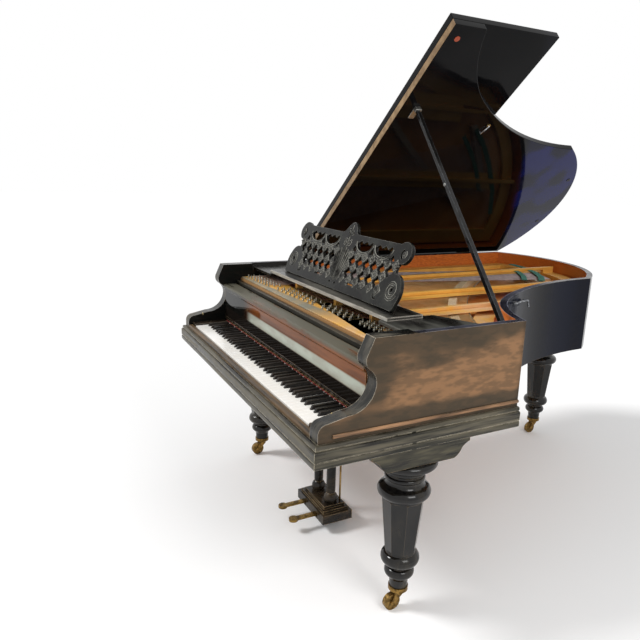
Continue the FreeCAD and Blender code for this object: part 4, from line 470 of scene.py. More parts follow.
steel_paths = []
copper_paths = []
hitch_paths = []
for note, across in enumerate(treble_starts):
    end, reach = treble_end(across)
    for side in (-STEEL_APART, STEEL_APART):
        first = (across + PIN_SIDE.x, pin_place(across, note) + PIN_SIDE.y, STEEL_START)
        nut = (across + STEEL_SHIFT + side, NUT_PLACE, STEEL_LEVEL)
        steel_paths.append([first, nut, (end + side, reach, STEEL_LEVEL)])
    hitch_paths.append([(end, reach + 0.001, HITCH_FOOT), (end, reach + 0.001, HITCH_TOP)])
for note, across in enumerate(bass_starts):
    reach = BASS_END - BASS_END_PITCH * note
    for side in (-COPPER_APART, COPPER_APART):
        first = (across + PIN_SIDE.x, pin_place(across, note) + PIN_SIDE.y, COPPER_START)
        nut = (across + COPPER_SHIFT + side, NUT_PLACE, COPPER_LEVEL)
        copper_paths.append([first, nut, (across + BASS_LEAN + side, reach, COPPER_LEVEL)])
# Steel wire shows as fine bright lines, tinted gold as a painted reflection of the plate below; the copper
# winding has greyed.
steel_strings = wires("steel_string_set", steel_paths, STEEL_RADIUS)
settle(steel_strings, "steel_string_set", metal("string_steel_painted_gold_reflection", "e2c88f", "bf9c62", 0.35, 50, 0.5), "case")
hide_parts("treble_strings")
copper_strings = wires("copper_string_set", copper_paths, COPPER_RADIUS)
settle(copper_strings, "copper_string_set", metal("wound_copper", "b9a6a2", "8f7f7c", 0.4, 30, 0.4), "case")
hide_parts("bass_strings")
hitch_pins = wires("hitch_pin_set", hitch_paths, HITCH_RADIUS, 1)
settle(hitch_pins, "hitch_pin_set", metal("hitch_steel", "b9b4aa", "6d6458", 0.3, 4), "case")

# Cloth on the strings: two strips of green felt woven through the wires' dead ends near the tail.
# Red cloth lies in patches on the web behind the pins, black felt along the spine under the lid.
# The plate's bars spread into flat feet just above the wires.
FELT_LEVEL = 0.9328
FELT_THICK = 0.003
LONG_FELT_WIDTH = 0.031
SHORT_FELT_WIDTH = 0.027
FOOT_LEVEL = 0.9293
FOOT_THICK = 0.0026
FOOT_START = -0.40
CLOTH_LEVEL = 0.9183
CLOTH_THICK = 0.0022
CLOTH_WIDTH = 0.02
SPINE_LEVEL = 0.9772
SPINE_THICK = 0.0044
SPINE_WIDTH = 0.012
SPINE_PLACE = -0.704


def felt(name, colour, shade):
    """Pressed wool: quite matt, a tangle of fibres drawn 0.9 mm apart so that it shows, and worn patches."""
    material, tree, place = blank(name)
    fibre = speckle(tree, place, 0.9, detail=3.0)
    wool = add(tree, "Mix", {SHARE: fibre, FIRST: colour, SECOND: shade}, **BLEND)
    worn = speckle(tree, place, 20, low=0.3, high=0.75)
    wool = add(tree, "Mix", {SHARE: worn, FIRST: wool, SECOND: shade}, **BLEND)
    relief = add(tree, "Bump", {"Height": fibre, "Distance": 0.0003})
    surface = {"Base Color": wool, "Roughness": 0.95, "Normal": relief}
    add(tree, "OutputMaterial", {"Surface": add(tree, "BsdfPrincipled", surface)})
    return material


def strip(path, width, level, thickness):
    """A flat strip along a path of places seen from above, its edges broken by a small bevel."""
    spots = [Vector(spot) for spot in path]
    corners = []
    for index, spot in enumerate(spots):
        ahead = spots[min(index + 1, len(spots) - 1)] - spots[max(index - 1, 0)]
        side = Vector((-ahead.y, ahead.x)).normalized() * width / 2
        corners.append((*(spot - side), level))
        corners.append((*(spot + side), level))
    lengths = range(0, 2 * len(spots) - 2, 2)
    mesh = bpy.data.meshes.new("strip")
    mesh.from_pydata(corners, [], [(near, near + 2, near + 3, near + 1) for near in lengths])
    piece = bpy.data.objects.new("strip", mesh)
    bpy.context.collection.objects.link(piece)
    hold(piece)
    bpy.ops.object.mode_set(mode="EDIT")
    bpy.ops.mesh.select_all(action="SELECT")
    bpy.ops.mesh.extrude_region_move(TRANSFORM_OT_translate={"value": (0, 0, thickness)})
    bpy.ops.mesh.select_all(action="SELECT")
    bpy.ops.mesh.normals_make_consistent(inside=False)
    bpy.ops.mesh.bevel(offset=thickness * 0.3, segments=1)
    bpy.ops.object.mode_set(mode="OBJECT")
    return piece


long_path = [(-0.50, 0.825), (-0.36, 0.80), (-0.22, 0.735), (-0.11, 0.66), (-0.03, 0.585)]
short_path = [(-0.36, 0.70), (-0.26, 0.655), (-0.16, 0.59), (-0.07, 0.51)]
long_felt = strip(long_path, LONG_FELT_WIDTH, FELT_LEVEL, FELT_THICK)
short_felt = strip(short_path, SHORT_FELT_WIDTH, FELT_LEVEL, FELT_THICK)
settle(joined([long_felt, short_felt]), "tail_felts", felt("green_felt", "5f9d89", "3f7d6c"), "case")
feet = []
for middle, end, width in ((-0.305, 0.80, 0.09), (0.06, 0.47, 0.125), (0.33, -0.05, 0.12)):
    line = [(middle, FOOT_START), (middle, (FOOT_START + end) / 2), (middle, end)]
    feet.append(strip(line, width, FOOT_LEVEL, FOOT_THICK))
settle(joined(feet), "plate_bar_feet", bronze, "case")
spine_line = [(SPINE_PLACE, -0.36), (SPINE_PLACE, 0.2), (SPINE_PLACE, 0.72)]
spine_felt = strip(spine_line, SPINE_WIDTH, SPINE_LEVEL, SPINE_THICK)
settle(spine_felt, "spine_felt", felt("black_felt", "151414", "0b0a0a"), "case")
patches = []
for low, high in ((-0.60, -0.33), (-0.27, 0.03), (0.09, 0.30), (0.36, 0.54)):
    line = [(low, -0.592), ((low + high) / 2, -0.588), (high, -0.582)]
    patches.append(strip(line, CLOTH_WIDTH, CLOTH_LEVEL, CLOTH_THICK))
settle(joined(patches), "string_cloths", felt("red_cloth", "8c3526", "5d2219"), "case")

# Dampers: black lacquered blocks of beech that lie on the strings, each on a wedge of felt.
# The sustain pedal lifts them all; their lacquer is thin at the corners.
finish(ebonised("damper_lacquer", "4a3a2b", "6b5a45", 0.2, 0.18), "damper_heads")
soften(0.0008, "damper_heads")

# Case front: arms with scrolled fronts, slip and blocks round the keys, rail behind the fallboard.
# Solid wood under the same black polish, rubbed brown outside and pale along every edge that is touched.
ARM_BACK = -0.72
# The arms' outsides go on from the rim's; their scrolled fronts are greyer, with pale corners.
arm_polish = ebonised("ebonised_arm", "8b694c", "b5a794", 0.9, 0.1, (1, 5, 1.6), "101211", 0.003, rubbed_side,
                      patch=140, mirror=0.06)
arm_front = ebonised("rubbed_arm_front", "5b564b", "c4b8a4", 0.42, 0.16, (1, 3, 3), "141512", patch=50)
finish(arm_polish, "bass_arm", "treble_arm")
for name in ("bass_arm", "treble_arm"):
    nodes[name].data.materials.append(arm_front)
    for face in nodes[name].data.polygons:
        forward = abs(face.normal.x) < 0.5 and face.normal.y < 0.5
        face.material_index = 1 if forward and face.center.y < ARM_BACK else 0
# Slip and rail have long streaks from wiping; the keybed is stained, not polished.
finish(ebonised("ebonised_slip", "6a543a", "c3b9a8", 0.6, 0.14, (20, 1, 1), "17150f", patch=14), "key_slip")
finish(ebonised("ebonised_block", "5a4732", "a89a86", 0.4, 0.12), "key_blocks")
finish(ebonised("ebonised_rail", "3b382f", "857b66", 0.5, 0.2, (9, 1, 1), "0f0e0b"), "nameboard_rail")
finish(wood("stained_keybed", "5a412b", "3c2a1b", (6, 1, 1), 6, 0.55), "keybed")
soften(0.002, "key_slip", "key_blocks")
soften(0.0012, "nameboard_rail", "keybed")

# Base moulding: a stepped and rounded strip planed in lengths, mitred at the front corners.
# It runs round the foot of the case, with a half-round bead on each side above it.
MOULDING_SIDE = 0.712
MOULDING_FRONT = -0.977
MOULDING_BACK = -0.2502


def swept(name, profile, stations):
    """A closed profile of (out, up) points carried past stations of (place, outward direction)."""
    form = bmesh.new()
    rings = []
    for base, away in stations:
        spots = [(base[0] + away[0] * out, base[1] + away[1] * out, up) for out, up in profile]
        rings.append([form.verts.new(spot) for spot in spots])
    for first, second in zip(rings, rings[1:]):
        for index in range(len(profile)):
            form.faces.new((first[index - 1], first[index], second[index], second[index - 1]))
    form.faces.new(rings[0])
    form.faces.new(rings[-1])
    bmesh.ops.recalc_face_normals(form, faces=form.faces)
    mesh = bpy.data.meshes.new(name)
    form.to_mesh(mesh)
    form.free()
    piece = bpy.data.objects.new(name, mesh)
    bpy.context.collection.objects.link(piece)
    return piece


def quarter(out, up, radius):
    """Points of a quarter round about a centre, from its top to its outside."""
    turns = [math.radians(90 - 18 * step) for step in range(6)]
    return [(out + radius * math.cos(turn), up + radius * math.sin(turn)) for turn in turns]


moulding_profile = [(0.0003, 0.6898), (0.007, 0.6898)]
moulding_profile += quarter(0.007, 0.6838, 0.006)
moulding_profile += [(0.013, 0.679), (0.0105, 0.6785), (0.0105, 0.6755)]
moulding_profile += quarter(0.0125, 0.6700, 0.0055)
moulding_profile += [(0.018, 0.646), (0.0155, 0.6455), (0.0155, 0.6425)]
moulding_profile += quarter(0.0125, 0.637, 0.0055)
moulding_profile += [(0.018, 0.629), (0.0165, 0.6232), (0.0003, 0.6232)]
mitres = [((-MOULDING_SIDE, MOULDING_BACK), (-1, 0)), ((-MOULDING_SIDE, MOULDING_FRONT), (-1, -1))]
mitres += [((MOULDING_SIDE, MOULDING_FRONT), (1, -1)), ((MOULDING_SIDE, MOULDING_BACK), (1, 0))]
moulding = swept("stepped_moulding", moulding_profile, mitres)
# Polish with long grey streaks; its pale corners are painted highlights. The bead is rubbed nearly bare.
moulding_polish_and_highlights = ebonised("ebonised_moulding_painted_highlights", "5f594a", "bdb39c", 0.52, 0.16, (20, 20, 1), "17170f", 0.003,
                           patch=14)
settle(moulding, "stepped_moulding", moulding_polish_and_highlights, "case")
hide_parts("base_moulding")
bead_polish = ebonised("ebonised_bead", "a9805d", "c9ab88", 0.5, 0.22, (14, 14, 1), "2a241c", patch=20)
finish(bead_polish, "side_beads")
soften(0.003, "side_beads")

# Fallboard: the hinged key cover of mahogany under a deep french polish, turned on pins in the arms.
# Its top edge is rubbed grey, and a pale band above the keys is a painted reflection of the white keys.
# A strip of red felt is glued along its foot over the key tails.
REFLECTION_LOW = 0.778
REFLECTION_HIGH = 0.824
REFLECTION_END = {"From Min": -0.37, "From Max": -0.29}
DARK_END = {"From Min": -0.22, "From Max": -0.42}
TOP_EDGE = {"From Min": 0.868, "From Max": 0.884}
FALL_FELT_PLACE = -0.8125
FALL_FELT_LEVEL = 0.7228
FALL_FELT_REACH = 0.606
FALL_FELT_WIDTH = 0.004
FALL_FELT_THICK = 0.002
# Polished mahogany: glossy red brown with figure along the board, black at the bass end, with painted shade
# along the foot and a pale band of painted reflection of the keys above it.
fall_polish, tree, place = blank("polished_mahogany")
across, up = [add(tree, "SeparateXYZ", {0: place}, axis) for axis in "XZ"]
figure = speckle(tree, place, 12, (30, 1, 3), detail=4.0)
colour = add(tree, "Mix", {SHARE: figure, FIRST: "7d4a27", SECOND: "5c3319"}, **BLEND)
bass_end = add(tree, "MapRange", {"Value": across, **DARK_END}, **SMOOTH)
# Painted shade: the foot of the board is darkened where it meets the key tails.
foot = add(tree, "MapRange", {"Value": up, "From Min": REFLECTION_LOW + 0.008, "From Max": REFLECTION_LOW}, **SMOOTH)
# Painted reflection of the keys: a pale band between two heights, fading out towards the bass and broken in
# patches.
over = add(tree, "MapRange", {"Value": up, "From Min": REFLECTION_LOW, "From Max": REFLECTION_LOW + 0.008}, **SMOOTH)
under = add(tree, "MapRange", {"Value": up, "From Min": REFLECTION_HIGH, "From Max": REFLECTION_HIGH - 0.009}, **SMOOTH)
painted_key_reflection = add(tree, "Math", {0: over, 1: under}, operation="MULTIPLY")
reached = add(tree, "MapRange", {"Value": across, **REFLECTION_END}, **SMOOTH)
painted_key_reflection = add(tree, "Math", {0: painted_key_reflection, 1: reached}, operation="MULTIPLY")
patchy = speckle(tree, place, 50, (3, 1, 1))
patchy = add(tree, "MapRange", {"Value": patchy, "To Min": 0.72, "To Max": 0.92}, **SMOOTH)
painted_key_reflection = add(tree, "Math", {0: painted_key_reflection, 1: patchy}, operation="MULTIPLY")
top = add(tree, "MapRange", {"Value": up, **TOP_EDGE}, **SMOOTH)
worn = speckle(tree, place, 30, (4, 1, 1), low=0.2, high=0.5)
rubbed = add(tree, "Math", {0: top, 1: worn}, operation="MULTIPLY")
edges = rubbed_edges(tree, place, 0.003, 40)
layers = ((bass_end, "11110f"), (foot, "191512"), (painted_key_reflection, "b3baad"), (rubbed, "5d5a4e"), (edges, "a58d6a"))
for share, shade in layers:
    colour = add(tree, "Mix", {SHARE: share, FIRST: colour, SECOND: shade}, **BLEND)
rough = add(tree, "MapRange", {"Value": rubbed, "To Min": 0.045, "To Max": 0.4}, **SMOOTH)
surface = {"Base Color": colour, "Roughness": rough, "Specular IOR Level": 0.12}
add(tree, "OutputMaterial", {"Surface": add(tree, "BsdfPrincipled", surface)})
finish(fall_polish, "fallboard")
soften(0.0025, "fallboard")
felt_line = [(across, FALL_FELT_PLACE) for across in (-FALL_FELT_REACH, 0, FALL_FELT_REACH)]
fall_felt = strip(felt_line, FALL_FELT_WIDTH, FALL_FELT_LEVEL, FALL_FELT_THICK)
settle(fall_felt, "fallboard_felt", felt("red_felt", "8a2419", "5f150e"), "fallboard")

# Keys: spruce levers faced with thin ivory, the sharps of ebony; the tails run under the fallboard.
# They rest on a beech frame; behind them the felt hammers hang over a beech rail.
KEY_TAIL = -0.80
# Ivory: a smooth yellowed white with a faint grain along each key, drawn 1.2 mm wide so that it shows.
ivory, tree, place = blank("ivory")
streak = speckle(tree, place, 1.2, (1, 14, 1), detail=2.0)
colour = add(tree, "Mix", {SHARE: streak, FIRST: "fffefb", SECOND: "faf7f0"}, **BLEND)
age = speckle(tree, place, 30, (1, 3, 1), low=0.3, high=0.8)
age = add(tree, "Math", {0: age, 1: 0.6}, operation="MULTIPLY")
colour = add(tree, "Mix", {SHARE: age, FIRST: colour, SECOND: "f6f1e6"}, **BLEND)
along = add(tree, "SeparateXYZ", {0: place}, "Y")
tail = add(tree, "MapRange", {"Value": along, "From Min": KEY_TAIL, "From Max": KEY_TAIL + 0.01}, **SMOOTH)
colour = add(tree, "Mix", {SHARE: tail, FIRST: colour, SECOND: "b8935f"}, **BLEND)
surface = {"Base Color": colour, "Roughness": 0.22, "Coat Weight": 0.3}
add(tree, "OutputMaterial", {"Surface": add(tree, "BsdfPrincipled", surface)})
finish(ivory, "bass_naturals", "treble_naturals")
# Ebony: near black with a soft shine, brown where fingers have been.
finish(ebonised("ebony", "2c2520", "4d4338", 0.4, 0.16, (1, 6, 1)), "bass_sharps", "treble_sharps")
soften(0.0009, "bass_naturals", "treble_naturals", "bass_sharps", "treble_sharps")
finish(beech, "key_frame", "action_rail")
hammer_felt = felt("hammer_felt", "e6dfcd", "bfb39a")
finish(hammer_felt, "bass_natural_hammers", "bass_sharp_hammers")
finish(hammer_felt, "treble_natural_hammers", "treble_sharp_hammers")

# Lid: two veneered boards joined by a fold, polished like a black mirror on both faces.
# The raw front edge of the main board shows brown where the polish has gone.
LID_FRONT = -0.35
TAIL_REFLECTION = {"From Min": 1.905, "From Max": 1.955}


def lid_polish(name, haze):
    """Black mirror polish with slow waves, a few dull clouds and a painted reflection of one colour towards
    the tail.
    """
    material, tree, place = blank(name)
    along, up = [add(tree, "SeparateXYZ", {0: place}, axis) for axis in "YZ"]
    cloud = speckle(tree, place, 250, low=0.35, high=0.8)
    colour = add(tree, "Mix", {SHARE: cloud, FIRST: "070708", SECOND: "100f10"}, **BLEND)
    # Painted reflection: the haze colour is mixed in towards the tail, in slow bands.
    slanted = add(tree, "Math", {0: along, 1: up}, operation="ADD")
    tail = add(tree, "MapRange", {"Value": slanted, **TAIL_REFLECTION}, **SMOOTH)
    reflection_bands = speckle(tree, place, 160, (1, 1, 3), detail=1.0, low=0.35, high=0.6)
    reflection_bands = add(tree, "MapRange", {"Value": reflection_bands, "To Min": 0.2}, **SMOOTH)
    bloom = add(tree, "Math", {0: tail, 1: reflection_bands}, operation="MULTIPLY")
    colour = add(tree, "Mix", {SHARE: bloom, FIRST: colour, SECOND: haze}, **BLEND)
    rough = add(tree, "MapRange", {"Value": cloud, "To Min": 0.04, "To Max": 0.1}, **SMOOTH)
    edges = rubbed_edges(tree, place, 0.003, 60)
    rough = add(tree, "Math", {0: rough, 1: edges}, operation="ADD", use_clamp=True)
    wave = speckle(tree, place, 60, (1, 3, 1), detail=2.0, low=0.1, high=0.9)
    relief = add(tree, "Bump", {"Height": wave, "Distance": 0.0001})
    surface = {"Base Color": colour, "Roughness": rough, "Normal": relief, "Specular IOR Level": 0.1}
    add(tree, "OutputMaterial", {"Surface": add(tree, "BsdfPrincipled", surface)})
    return material


finish(lid_polish("lid_polish", "0d0e13"), "main_lid", "front_lid")
# Bare edge: tan wood with dark streaks. The underside's polish has a painted blue reflection at the tail.
bare_edge = wood("rubbed_lid_edge", "9b7d55", "5f4529", (8, 1, 8), 4, 0.45, 60)
nodes["main_lid"].data.materials.append(bare_edge)
nodes["main_lid"].data.materials.append(lid_polish("polish_painted_blue_reflection", "121750"))
for face in nodes["main_lid"].data.polygons:
    if face.normal.y < -0.9 and face.center.y < LID_FRONT:
        face.material_index = 1
    # Faces that look down get the polish with the painted blue reflection.
    elif face.normal.z < -0.5:
        face.material_index = 2
soften(0.002, "main_lid", "front_lid")

# Lid fittings: brass butt hinges on the spine, a black prop in its brass bracket and nickel cup.
# Rubber buffers keep the closed lid off the rim; the front one has been renewed in red.
BUFFER_SPLIT = -0.28
# Aged brass: dull gold with brown tarnish. The prop's polish is nearly whole.
brass = metal("aged_brass", "96763f", "4e3b1e", 0.3, 12)
finish(brass, "lid_hinges", "lid_leaves", "prop_bracket")
finish(metal("cup_nickel", "c4c3bd", "77736b", 0.25, 12), "prop_cup")
finish(ebonised("ebonised_prop", "2c2e31", "6f7479", 0.25, 0.1), "lid_prop")
# Moulded rubber: matt and even, black or brick red with a faint bloom.
rubber, tree, place = blank("buffer_rubber")
bloom = speckle(tree, place, 4, low=0.3, high=0.8)
red = add(tree, "Mix", {SHARE: bloom, FIRST: "a1452a", SECOND: "7a3520"}, **BLEND)
along = add(tree, "SeparateXYZ", {0: place}, "Y")
split = {"Value": along, "From Min": BUFFER_SPLIT, "From Max": BUFFER_SPLIT - 0.02}
front = add(tree, "MapRange", split, **SMOOTH)
colour = add(tree, "Mix", {SHARE: front, FIRST: "191512", SECOND: red}, **BLEND)
rough = add(tree, "MapRange", {"Value": bloom, "To Min": 0.5, "To Max": 0.8}, **SMOOTH)
surface = {"Base Color": colour, "Roughness": rough}
add(tree, "OutputMaterial", {"Surface": add(tree, "BsdfPrincipled", surface)})
finish(rubber, "lid_buffers")
soften(0.0015, "lid_prop", "prop_bracket", "prop_cup")

# Music desk board: side wings in the case, a sliding shelf on them and two folding struts.
# Black polish again, rubbed to a grey sheen on the flat tops and pale along the shelf's front edge.
SHELF_FRONT = -0.62
finish(ebonised("ebonised_wing", "62625b", "8e887a", 0.5, 0.22, (6, 2, 1)), "desk_wings")
finish(ebonised("ebonised_shelf", "55524a", "b3ada2", 0.45, 0.22, (5, 1, 1), reach=0.01), "music_shelf")
finish(ebonised("ebonised_strut", "4d4031", "7d6d58", 0.25, 0.15), "desk_struts")
shelf_edge = ebonised("rubbed_shelf_edge", "a9a69d", "c4c0b6", 0.95, 0.25, (8, 1, 1), "3a3935")
nodes["music_shelf"].data.materials.append(shelf_edge)
for face in nodes["music_shelf"].data.polygons:
    face.material_index = 1 if face.normal.y < -0.9 and face.center.y < SHELF_FRONT else 0
soften(0.002, "desk_wings", "music_shelf")
soften(0.001, "desk_struts")

# Pierced music desk: a board cut through with festoons, scrolls and leaves, carved on its face.
# Fretsawn from one panel of pear wood, ebonised; it hinges on the shelf and leans on the struts.
LEAN = math.radians(23.3)
DESK_HINGE = (0, -0.577, 0.9706)
DESK_BASE = 0.448
DESK_EAR = 0.431
DESK_HEIGHT = 0.226
DESK_CREST = 0.046
DESK_THICK = 0.014
BOARD_ROUND = 0.0015
BOARD_DEPTH = DESK_THICK / 2 - BOARD_ROUND
CARVED_LEVEL = DESK_THICK - 0.001
CARVED_DEPTH = 0.0006
RING_ROUND = 0.0026
RIB_ROUND = 0.0032
CREST_REACH = 0.038
CREST_UP = DESK_HEIGHT + DESK_CREST * 0.344
FESTOON_UP = 0.207
FESTOON_REACH = 0.058
FESTOON_TEETH = 6
TOOTH_ROOT = 0.2105
TOOTH_TIP = 0.198
PEAK_FOOT = 0.161
PEAK_REACH = 0.02
STAR_PITCH = Vector((0.0523, 0.049))
STAR_FIRST = Vector((0.084, 0.0765))
STAR_COLUMNS = 6
STAR_ROWS = 2
ROSETTE = 0.0192
ROSETTE_RING = 0.0125
BOSS = 0.0058
BOSS_RISE = 0.0042
PEARL = 0.0032
PEARL_REACH = 0.0178
WEB = 0.0016
EAR_EYE = (DESK_EAR - 0.034, 0.193)
FOOT_EYE = (DESK_BASE - 0.046, 0.067)
desk_place = Matrix.Translation(DESK_HINGE) @ Matrix.Rotation(math.pi / 2 - LEAN, 4, "X")


def bowed(points, steps=7):
    """A closed outline; a third value bows the side that ends there, radius to chord, left when positive."""
    outline = []
    for index, point in enumerate(points):
        begin = Vector(points[index - 1][:2])
        end = Vector(point[:2])
        if len(point) > 2:
            chord = end - begin
            sense = 1 if point[2] > 0 else -1
            radius = abs(point[2]) * chord.length
            left = Vector((-chord.y, chord.x)).normalized() * sense
            centre = (begin + end) / 2 + left * math.sqrt(max(radius**2 - chord.length_squared / 4, 0))
            sweep = 2 * math.asin(min(chord.length / 2 / radius, 1)) * sense
            for step in range(1, steps):
                outline.append(centre + Matrix.Rotation(sweep * step / steps, 2) @ (begin - centre))
        outline.append(end)
    return outline


def ring(centre, radius, steps=16, start=0.0, sweep=2 * math.pi, growth=0.0):
    """Points round a circle, an arc or, with growth, a spiral."""
    points = []
    for step in range(steps + 1):
        angle = start + sweep * step / steps
        reach = radius + growth * step / steps
        points.append(Vector((centre[0] + reach * math.cos(angle), centre[1] + reach * math.sin(angle))))
    return points


def star(centre):
    """A four-armed opening between four rosettes, with a thin web left at the end of each arm."""
    points = []
    slip = math.asin(WEB / ROSETTE)
    for turn, corner in enumerate(((1, 1), (-1, 1), (-1, -1), (1, -1))):
        hub = centre + Vector((corner[0] * STAR_PITCH.x, corner[1] * STAR_PITCH.y)) / 2
        begin = math.pi * (1.5 + 0.5 * turn) - slip
        points += ring(hub, ROSETTE, 6, begin, 2 * slip - math.pi / 2)
    return points


def crescent(centre, inner, outer, begin, sweep):
    """A curved slot between two arcs."""
    return ring(centre, outer, 12, begin, sweep) + ring(centre, inner, 12, begin + sweep, -sweep)


def squat(points, share):
    """A festoon's points drawn up towards its top."""
    return [Vector((spot.x, FESTOON_UP + (spot.y - FESTOON_UP) * share)) for spot in points]


def sided(points, side):
    """Points of the treble half, or the same points on the bass half."""
    return [Vector((spot[0] * side, spot[1])) for spot in points]


def drawn(name, outlines, extrude, round_edge, filled, level):
    """Outlines drawn as one curve at a level over the desk's back, given depth, meshed and leaned back."""
    curve = bpy.data.curves.new(name, "CURVE")
    curve.dimensions = "2D"
    curve.fill_mode = "BOTH" if filled else "NONE"
    curve.extrude = extrude
    curve.bevel_depth = round_edge
    curve.bevel_resolution = 1
    piece = meshed(curve, [[(*spot, 0) for spot in outline] for outline in outlines], filled)
    piece.data.transform(desk_place @ Matrix.Translation((0, 0, level)))
    return piece


half_outline = [
    (DESK_BASE - 0.008, 0),
    (DESK_BASE, DESK_HEIGHT * 0.126, 1.47),
    (DESK_BASE - 0.003, DESK_HEIGHT * 0.388, 1.11),
    (DESK_BASE - 0.062, DESK_HEIGHT * 0.544, 0.775),
    (DESK_EAR - 0.046, DESK_HEIGHT * 0.709, -0.765),
    (DESK_EAR, DESK_HEIGHT * 0.8835, 0.634),
    (DESK_EAR - 0.072, DESK_HEIGHT, 0.567),
    (0.064, DESK_HEIGHT),
    (CREST_REACH, CREST_UP, -1),
]
crest = [(0, DESK_HEIGHT + DESK_CREST, 1.166), (-CREST_REACH, CREST_UP, 1.166)]
other_half = []
for index in range(len(half_outline) - 2, -1, -1):
    across, up = half_outline[index][:2]
    other_half.append((-across, up, *half_outline[index + 1][2:]))
openings = []
rosettes = []
reliefs = [[Vector((0, 0.03)), Vector((0, DESK_HEIGHT + 0.034))]]
bosses = []
for side in (-1, 1):
    # Two festoons with a toothed top and a raised hoop below, and pointed openings between them.
    for share in (0.29, 0.585):
        middle = DESK_BASE * share * side
        outline = squat(ring((middle, FESTOON_UP), FESTOON_REACH, 14, math.pi, math.pi), 0.72)
        for tooth in range(FESTOON_TEETH):
            across = middle + FESTOON_REACH - 2 * FESTOON_REACH * (tooth + 0.5) / FESTOON_TEETH
            outline.append(Vector((across, TOOTH_TIP if tooth % 2 else TOOTH_ROOT)))
        openings.append(outline)
        hoop = ring((middle, FESTOON_UP), FESTOON_REACH + 0.0045, 16, math.pi * 1.04, math.pi * 0.92)
        reliefs.append(squat(hoop, 0.74))
    for middle, tip in ((0.196, 0.196), (0.3355, 0.188), (0.068, 0.192)):
        peak = ((middle - PEAK_REACH, PEAK_FOOT), (middle + PEAK_REACH, PEAK_FOOT), (middle, tip))
        openings.append(sided(peak, side))
    # Rows of star openings, with a ringed rosette of five bosses at each crossing.
    for column in range(STAR_COLUMNS):
        for row in range(STAR_ROWS):
            centre = STAR_FIRST + Vector((STAR_PITCH.x * column, STAR_PITCH.y * row))
            if column < STAR_COLUMNS - 1 or row:
                openings.append(star(Vector((centre.x * side, centre.y))))
    for column in range(STAR_COLUMNS + 1):
        for row in range(STAR_ROWS + 1):
            centre = STAR_FIRST + Vector((STAR_PITCH.x * (column - 0.5), STAR_PITCH.y * (row - 0.5)))
            if column < STAR_COLUMNS or row == STAR_ROWS:
                centre = Vector((centre.x * side, centre.y))
                rosettes.append(ring(centre, ROSETTE_RING, 14))
                bosses.append((centre, BOSS))
                for turn in range(4):
                    away = Vector((math.cos(turn * math.pi / 2), math.sin(turn * math.pi / 2)))
                    bosses.append((centre + away * PEARL_REACH, PEARL))
    # Slot, eyes and hooked openings along the foot and in the ear, with volutes round the two eyes.
    openings.append(sided(((0.098, 0.033), (0.165, 0.033), (0.165, 0.042), (0.098, 0.042)), side))
    openings.append(ring((0.021 * side, 0.024), 0.0065, 10)[:-1])
    openings.append(ring((0.198 * side, 0.034), 0.005, 10)[:-1])
    openings.append(sided(crescent((0.318, 0.036), 0.011, 0.019, math.pi * 0.95, math.pi * 0.75), side))
    openings.append(sided(crescent(EAR_EYE, 0.013, 0.0225, math.pi * 0.62, math.pi * 0.8), side))
    openings.append(ring((FOOT_EYE[0] * side, FOOT_EYE[1]), 0.009, 14)[:-1])
    reliefs.append(ring((EAR_EYE[0] * side, EAR_EYE[1]), 0.002, 30, 0, 7.5 * side, 0.009))
    reliefs.append(ring((FOOT_EYE[0] * side, FOOT_EYE[1]), 0.012, 40, 1.2, 11.0 * side, 0.024))
    # The middle leaf: three openings that fan out between four ribs, under two curls.
    for fan in range(3):
        foot = 0.010 + 0.007 * fan
        tip = 0.018 + 0.017 * fan
        up = 0.158 - 0.006 * fan
        blade = ((foot - 0.0024, 0.046), (foot + 0.0024, 0.046), (tip + 0.005, up), (tip - 0.005, up))
        openings.append(sided(blade, side))
    for fan in range(4):
        rib = ((0.006 + 0.007 * fan, 0.04), (0.009 + 0.0168 * fan, 0.17 - 0.006 * fan))
        reliefs.append(sided(rib, side))
    reliefs.append(ring((0.016 * side, 0.19), 0.004, 18, 1.0, 6.5 * side, 0.009))
    reliefs.append(ring((0.013 * side, 0.232), 0.003, 14, 0.5, 5.5 * side, 0.007))
board_outlines = [bowed(half_outline + crest + other_half)] + openings
board = drawn("desk_board", board_outlines, BOARD_DEPTH, BOARD_ROUND, True, DESK_THICK / 2)
fretwork = drawn("desk_fretwork", rosettes, CARVED_DEPTH, RING_ROUND, False, CARVED_LEVEL)
carving = drawn("desk_carving", reliefs, CARVED_DEPTH, RIB_ROUND, False, CARVED_LEVEL)
bpy.ops.object.select_all(action="DESELECT")
bpy.ops.mesh.primitive_uv_sphere_add(segments=8, ring_count=5, radius=1)
boss = bpy.context.object
boss_placings = []
for centre, reach in bosses:
    flattened = Matrix.Diagonal((reach, reach, BOSS_RISE, 1))
    boss_placings.append(desk_place @ Matrix.Translation((*centre, CARVED_LEVEL)) @ flattened)
carved_desk = joined([board, fretwork, carving, copies(boss, boss_placings)])
# Ebonised pear: dense black with little gloss; the pale colour along the edges of the carving is a painted
# highlight.
desk_black_and_highlights = ebonised("ebonised_pear_painted_highlights", "2c2d29", "a3a197", 0.35, 0.14, (1, 1, 1), "0f100f", mirror=0.14)
settle(carved_desk, "carved_music_desk", desk_black_and_highlights, "music_desk")
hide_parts("music_desk")

# Legs: turned and eight-sided beech columns under stepped brackets, black and glossy.
# Each ends in a brass cup with a swivelling fork and a brass wheel.
leg_polish = ebonised("ebonised_leg", "3d372b", "5d5140", 0.3, 0.05, (1, 1, 3), mirror=0.35)
finish(leg_polish, "bass_leg", "treble_leg", "tail_leg")
